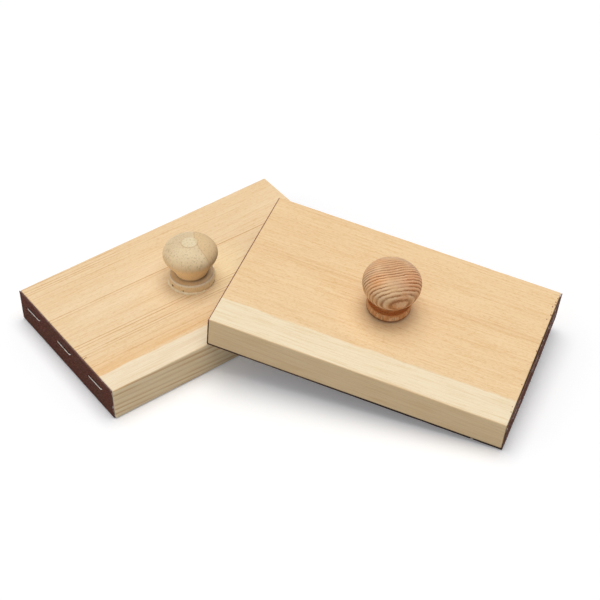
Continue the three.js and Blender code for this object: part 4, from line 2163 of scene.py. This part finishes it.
@dataclass(frozen=True)
class Studio:
    """The plain white floor, the soft light and the camera.

    The camera's focal length is in pixels of an image of the given size. The floor throws back the
    share floor_bounce of the light, and looks as pale as floor_pale with floor_lift added.
    """

    camera_place: Triple = (-0.3343, -0.5756, 0.6074)
    camera_aim: Triple = (0.03887, -0.03809, 0.01)
    camera_roll: float = math.radians(-1.483)
    camera_clip: Pair = (0.01, 50.0)
    focal_pixels: float = 1745.9
    image_pixels: float = 600.0
    sensor: float = 36.0
    floor_half: float = 4.0
    floor_drop: float = 0.02 * MM
    floor_bounce: float = 0.6
    floor_pale: float = 0.92
    floor_lift: float = 0.128
    sky: float = 0.285
    sky_color: Color = (0.93, 0.98, 1.07, 1.0)
    white: Color = (1.0, 1.0, 1.0, 1.0)
    lamps: tuple[Lamp, ...] = (
        Lamp("key", 0.42, (1.02, 1.0, 0.97), 42, 57, 80),
        Lamp("front", 0.234, (1.01, 1.0, 0.985), 42, 300, 76),
        Lamp("fill", 0.104, (1.02, 1.0, 0.97), 80, 200, 35),
    )

    def camera(self) -> None:
        """Sets up the camera at the photograph's viewing angle."""
        data = bpy.data.cameras.new("camera")
        data.sensor_width = self.sensor
        data.lens = self.focal_pixels / self.image_pixels * self.sensor
        data.clip_start, data.clip_end = self.camera_clip
        made = add_object("camera", data)
        place, aim = Vector(self.camera_place), Vector(self.camera_aim)
        look = (aim - place).to_track_quat("-Z", "Y").to_matrix().to_4x4()
        roll = Matrix.Rotation(self.camera_roll, 4, "Z")
        made.matrix_world = Matrix.Translation(place) @ look @ roll
        bpy.context.scene.camera = made

    @staticmethod
    def by_ray(graph: Graph, lighting: Socket, seen: Socket) -> Socket:
        """Parts the rays that look at a surface from those that only carry its light.

        Args:
            graph: The node tree.
            lighting: The shader for rays that carry light.
            seen: The shader for rays that the camera, a gloss or a clear body sees along.

        Returns:
            The mixed shader's socket.
        """
        rays = graph.node("ShaderNodeLightPath").outputs
        names = ("Is Camera Ray", "Is Glossy Ray", "Is Transmission Ray")
        looking = graph.number("MINIMUM", graph.plus(*[rays[name] for name in names]), 1.0)
        return graph.out("ShaderNodeMixShader", {0: looking, 1: lighting, 2: seen})

    @staticmethod
    def matte(graph: Graph, level: float) -> Socket:
        """A plain matte shader that throws back a share of all light."""
        return graph.out("ShaderNodeBsdfDiffuse", {"Color": (level, level, level, 1.0)})

    def floor(self) -> None:
        """Lays a floor that looks white, keeps shadows and throws back a plain share of light."""
        half, level = self.floor_half, -self.floor_drop
        around = [(-half, -half), (half, -half), (half, half), (-half, half)]
        corners = [(x, y, level) for x, y in around]
        made = add_object("floor", new_mesh("floor", corners, [(0, 1, 2, 3)]))
        material = bpy.data.materials.new("white_floor")
        material.use_nodes = True
        graph = Graph(material.node_tree)
        graph.tree.nodes.clear()
        glow = graph.out("ShaderNodeEmission", {"Strength": self.floor_lift})
        lifted = graph.out("ShaderNodeAddShader", {0: self.matte(graph, self.floor_pale), 1: glow})
        mixed = self.by_ray(graph, self.matte(graph, self.floor_bounce), lifted)
        graph.node("ShaderNodeOutputMaterial", {"Surface": mixed})
        made.data.materials.append(material)

    def light(self) -> None:
        """Hangs the soft lamps and a sky that looks white."""
        for lamp in self.lamps:
            lamp.build()
        world = bpy.data.worlds.new("sky")
        world.use_nodes = True
        graph = Graph(world.node_tree)
        graph.tree.nodes.clear()
        lit = graph.out("ShaderNodeBackground", {"Color": self.sky_color, "Strength": self.sky})
        seen = graph.out("ShaderNodeBackground", {"Color": self.white, "Strength": 1.0})
        graph.node("ShaderNodeOutputWorld", {"Surface": self.by_ray(graph, lit, seen)})
        bpy.context.scene.world = world

    def build(self) -> None:
        """Sets up the whole studio, with colours shown as they are."""
        bpy.context.scene.view_settings.view_transform = "Standard"
        self.camera()
        self.floor()
        self.light()


# The pair

FLAT_PINE = PineFinish(
    heart_pale=rgb(245, 218, 178),
    heart_deep=rgb(241, 211, 168),
    amber=rgb(238, 194, 138),
    sap_pale=rgb(245, 228, 198),
    sap_deep=rgb(238, 217, 182),
    line_tone=rgb(210, 170, 112),
    sap_start=78.4,
    amber_width=17.0,
    amber_share=0.72,
    lines=(
        GrowthLine(2.2, 0.55, fade=(10, -50)),
        GrowthLine(4.5, 0.5, fade=(20, -45)),
        GrowthLine(6.2, 0.55, fade=(30, -40)),
        GrowthLine(7.7, 0.4, fade=(0, -55)),
        GrowthLine(11.3, 0.4, fade=(5, -55)),
        GrowthLine(15.3, 0.2, fade=(-10, -50)),
        GrowthLine(30.4, 0.75),
        GrowthLine(32.1, 0.35, fade=(40, -40)),
        GrowthLine(45.9, 0.2),
        GrowthLine(54.0, 0.55),
        GrowthLine(55.8, 0.7),
        GrowthLine(58.0, 0.3),
        GrowthLine(60.4, 0.6),
        GrowthLine(61.9, 0.65),
        GrowthLine(63.6, 0.3),
        GrowthLine(67.2, 0.2),
        GrowthLine(71.0, 0.3, 0.6),
        GrowthLine(74.8, 0.15, 0.6),
    ),
    # Painted light: paler wood where the knob and the leaning block shade the board.
    patches=(Patch((15.0, -4.0, 18.9), 4.0, 28.0, rgb(254, 231, 186), 0.9),),
    skew=0.015,
    ring_lean=0.16,
    side_share=0.66,
    fleck_share=0.15,
    seed=1.0,
    plain_share=0.07,
    side_tone_and_shade=rgb(255, 250, 239),
)

LEANING_PINE = PineFinish(
    heart_pale=rgb(245, 214, 168),
    heart_deep=rgb(241, 207, 160),
    amber=rgb(242, 212, 168),
    sap_pale=rgb(245, 228, 195),
    sap_deep=rgb(240, 219, 183),
    line_tone=rgb(216, 180, 136),
    sap_start=74.4,
    amber_width=26.0,
    amber_share=0.6,
    lines=(
        GrowthLine(34.1, 0.22, 0.8),
        GrowthLine(36.2, 0.22, 0.9),
        GrowthLine(49.5, 0.2, 0.7),
    ),
    # Painted light: paler wood round the knob's foot, where its shade falls.
    patches=(Patch((-1.0, -9.0, 18.9), 9.0, 25.0, rgb(255, 220, 170), 0.6),),
    skew=0.0,
    ring_lean=0.05,
    side_share=0.12,
    fleck_share=0.45,
    seed=6.0,
    plain_share=0.05,
    # Partly the sides' own grain, partly painted shade.
    side_tone_and_shade=rgb(249, 237, 220),
    # Painted shade along the board's foot, where it meets the paper.
    seam_shade_share=0.9,
)

FLAT_KNOB = KnobShape(
    foot_radius=11.9 * MM,
    groove_height=0.8 * MM,
    ball_radius=13.9 * MM,
    ball_rise=16.6 * MM,
    height=23.9 * MM,
    disc_step=0.22 * MM,
    disc_ease=0.35 * MM,
    neck_flare=0.9 * MM,
    neck_fullness=0.4,
    under_fullness=0.24,
    waist_radius=8.2 * MM,
    foot_taper=0.9 * MM,
    groove_depth=0.9 * MM,
)

LEANING_KNOB = KnobShape(
    foot_radius=11 * MM,
    foot_height=4.8 * MM,
    foot_taper=0.7 * MM,
    groove_height=1.8 * MM,
    ball_radius=14.4 * MM,
    ball_rise=17.2 * MM,
    height=25.54 * MM,
    disc_step=0.0,
    disc_ease=0.0,
    neck_flare=0.8 * MM,
    neck_fullness=0.24,
    under_fullness=0.66,
)

FLAT_FIT = SheetFit(
    bows={End.LEFT: 0.1 * MM, End.RIGHT: 0.25 * MM},
    drops={End.LEFT: 0.05 * MM, End.RIGHT: 1.6 * MM},
    ends={End.LEFT: 0.3 * MM, End.RIGHT: 0.25 * MM},
    flaps={End.LEFT: 0.5 * MM, End.RIGHT: 0.5 * MM},
    front_inset=0.9 * MM,
    staple_sink=0.26 * MM,
    settle=0.3 * MM,
)

LEANING_FIT = SheetFit(
    bows={End.LEFT: 0.1 * MM, End.RIGHT: 0.5 * MM},
    drops={End.LEFT: 0.5 * MM, End.RIGHT: 0.1 * MM},
    ends={End.LEFT: 0.35 * MM, End.RIGHT: 0.0},
    flaps={End.LEFT: 0.3 * MM, End.RIGHT: 0.5 * MM},
    front_inset=0.0,
    staple_sink=0.42 * MM,
    settle=0.05 * MM,
)

FLAT_PAPER = PaperEdgeFinish(
    core=rgb(92, 60, 54),
    back=rgb(134, 102, 96),
    torn=rgb(200, 182, 178),
    chips=(Patch((-76.0, -44.1, 7.7), 0.5, 1.1, rgb(226, 216, 214), 0.9),),
)

LEANING_PAPER = PaperEdgeFinish(
    core=rgb(84, 56, 44),
    back=rgb(124, 94, 82),
    torn=rgb(194, 172, 158),
    # Painted shade along the underside's edges, where the sheet meets the table.
    contact_shade_share=1.0,
    worn_share=0.85,
    chips=(Patch((60.4, -45.0, 0.6), 0.4, 0.9, rgb(206, 192, 176), 0.9),),
)

DULL_STEEL = SteelFinish(
    bright=rgb(142, 130, 124), dull=rgb(96, 82, 76), roughness=(0.42, 0.66)
)


def main() -> None:
    """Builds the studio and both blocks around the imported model, and reports each piece."""
    logging.basicConfig(level=logging.INFO, format="%(message)s")
    for leftover in list(bpy.data.objects):
        bpy.data.objects.remove(leftover)
    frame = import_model()
    Studio().build()

    sizes = BlockSizes.from_frame()
    trees = (grain_tree(), staple_tree(), bead_tree())
    flat = SandBlock(
        block=Block.FLAT,
        sizes=sizes,
        place=Matrix.Identity(4),
        nodes=frame["nodes"],
        pine=FLAT_PINE,
        knob_shape=FLAT_KNOB,
        knob_finish=SpeckledKnobFinish(),
        knob_slot="pale_knob_wood",
        fit=FLAT_FIT,
        paper=FLAT_PAPER,
        steel=SteelFinish(),
        seed=11,
        nick=Nick(across=-17.5 * MM),
        glue=GlueFinish(),
    )
    leaning = SandBlock(
        block=Block.LEANING,
        sizes=sizes,
        place=Lean().place(sizes),
        nodes=frame["nodes"],
        pine=LEANING_PINE,
        knob_shape=LEANING_KNOB,
        knob_finish=RingedKnobFinish(),
        knob_slot="ringed_knob_wood",
        fit=LEANING_FIT,
        paper=LEANING_PAPER,
        steel=DULL_STEEL,
        seed=23,
        crumb_end=End.RIGHT,
    )
    for block in (flat, leaning):
        for piece in block.build(*trees):
            log.info("%s: %d faces, on %s", piece.name, len(piece.data.polygons), block.block.body)


if __name__ == "__main__":
    main()
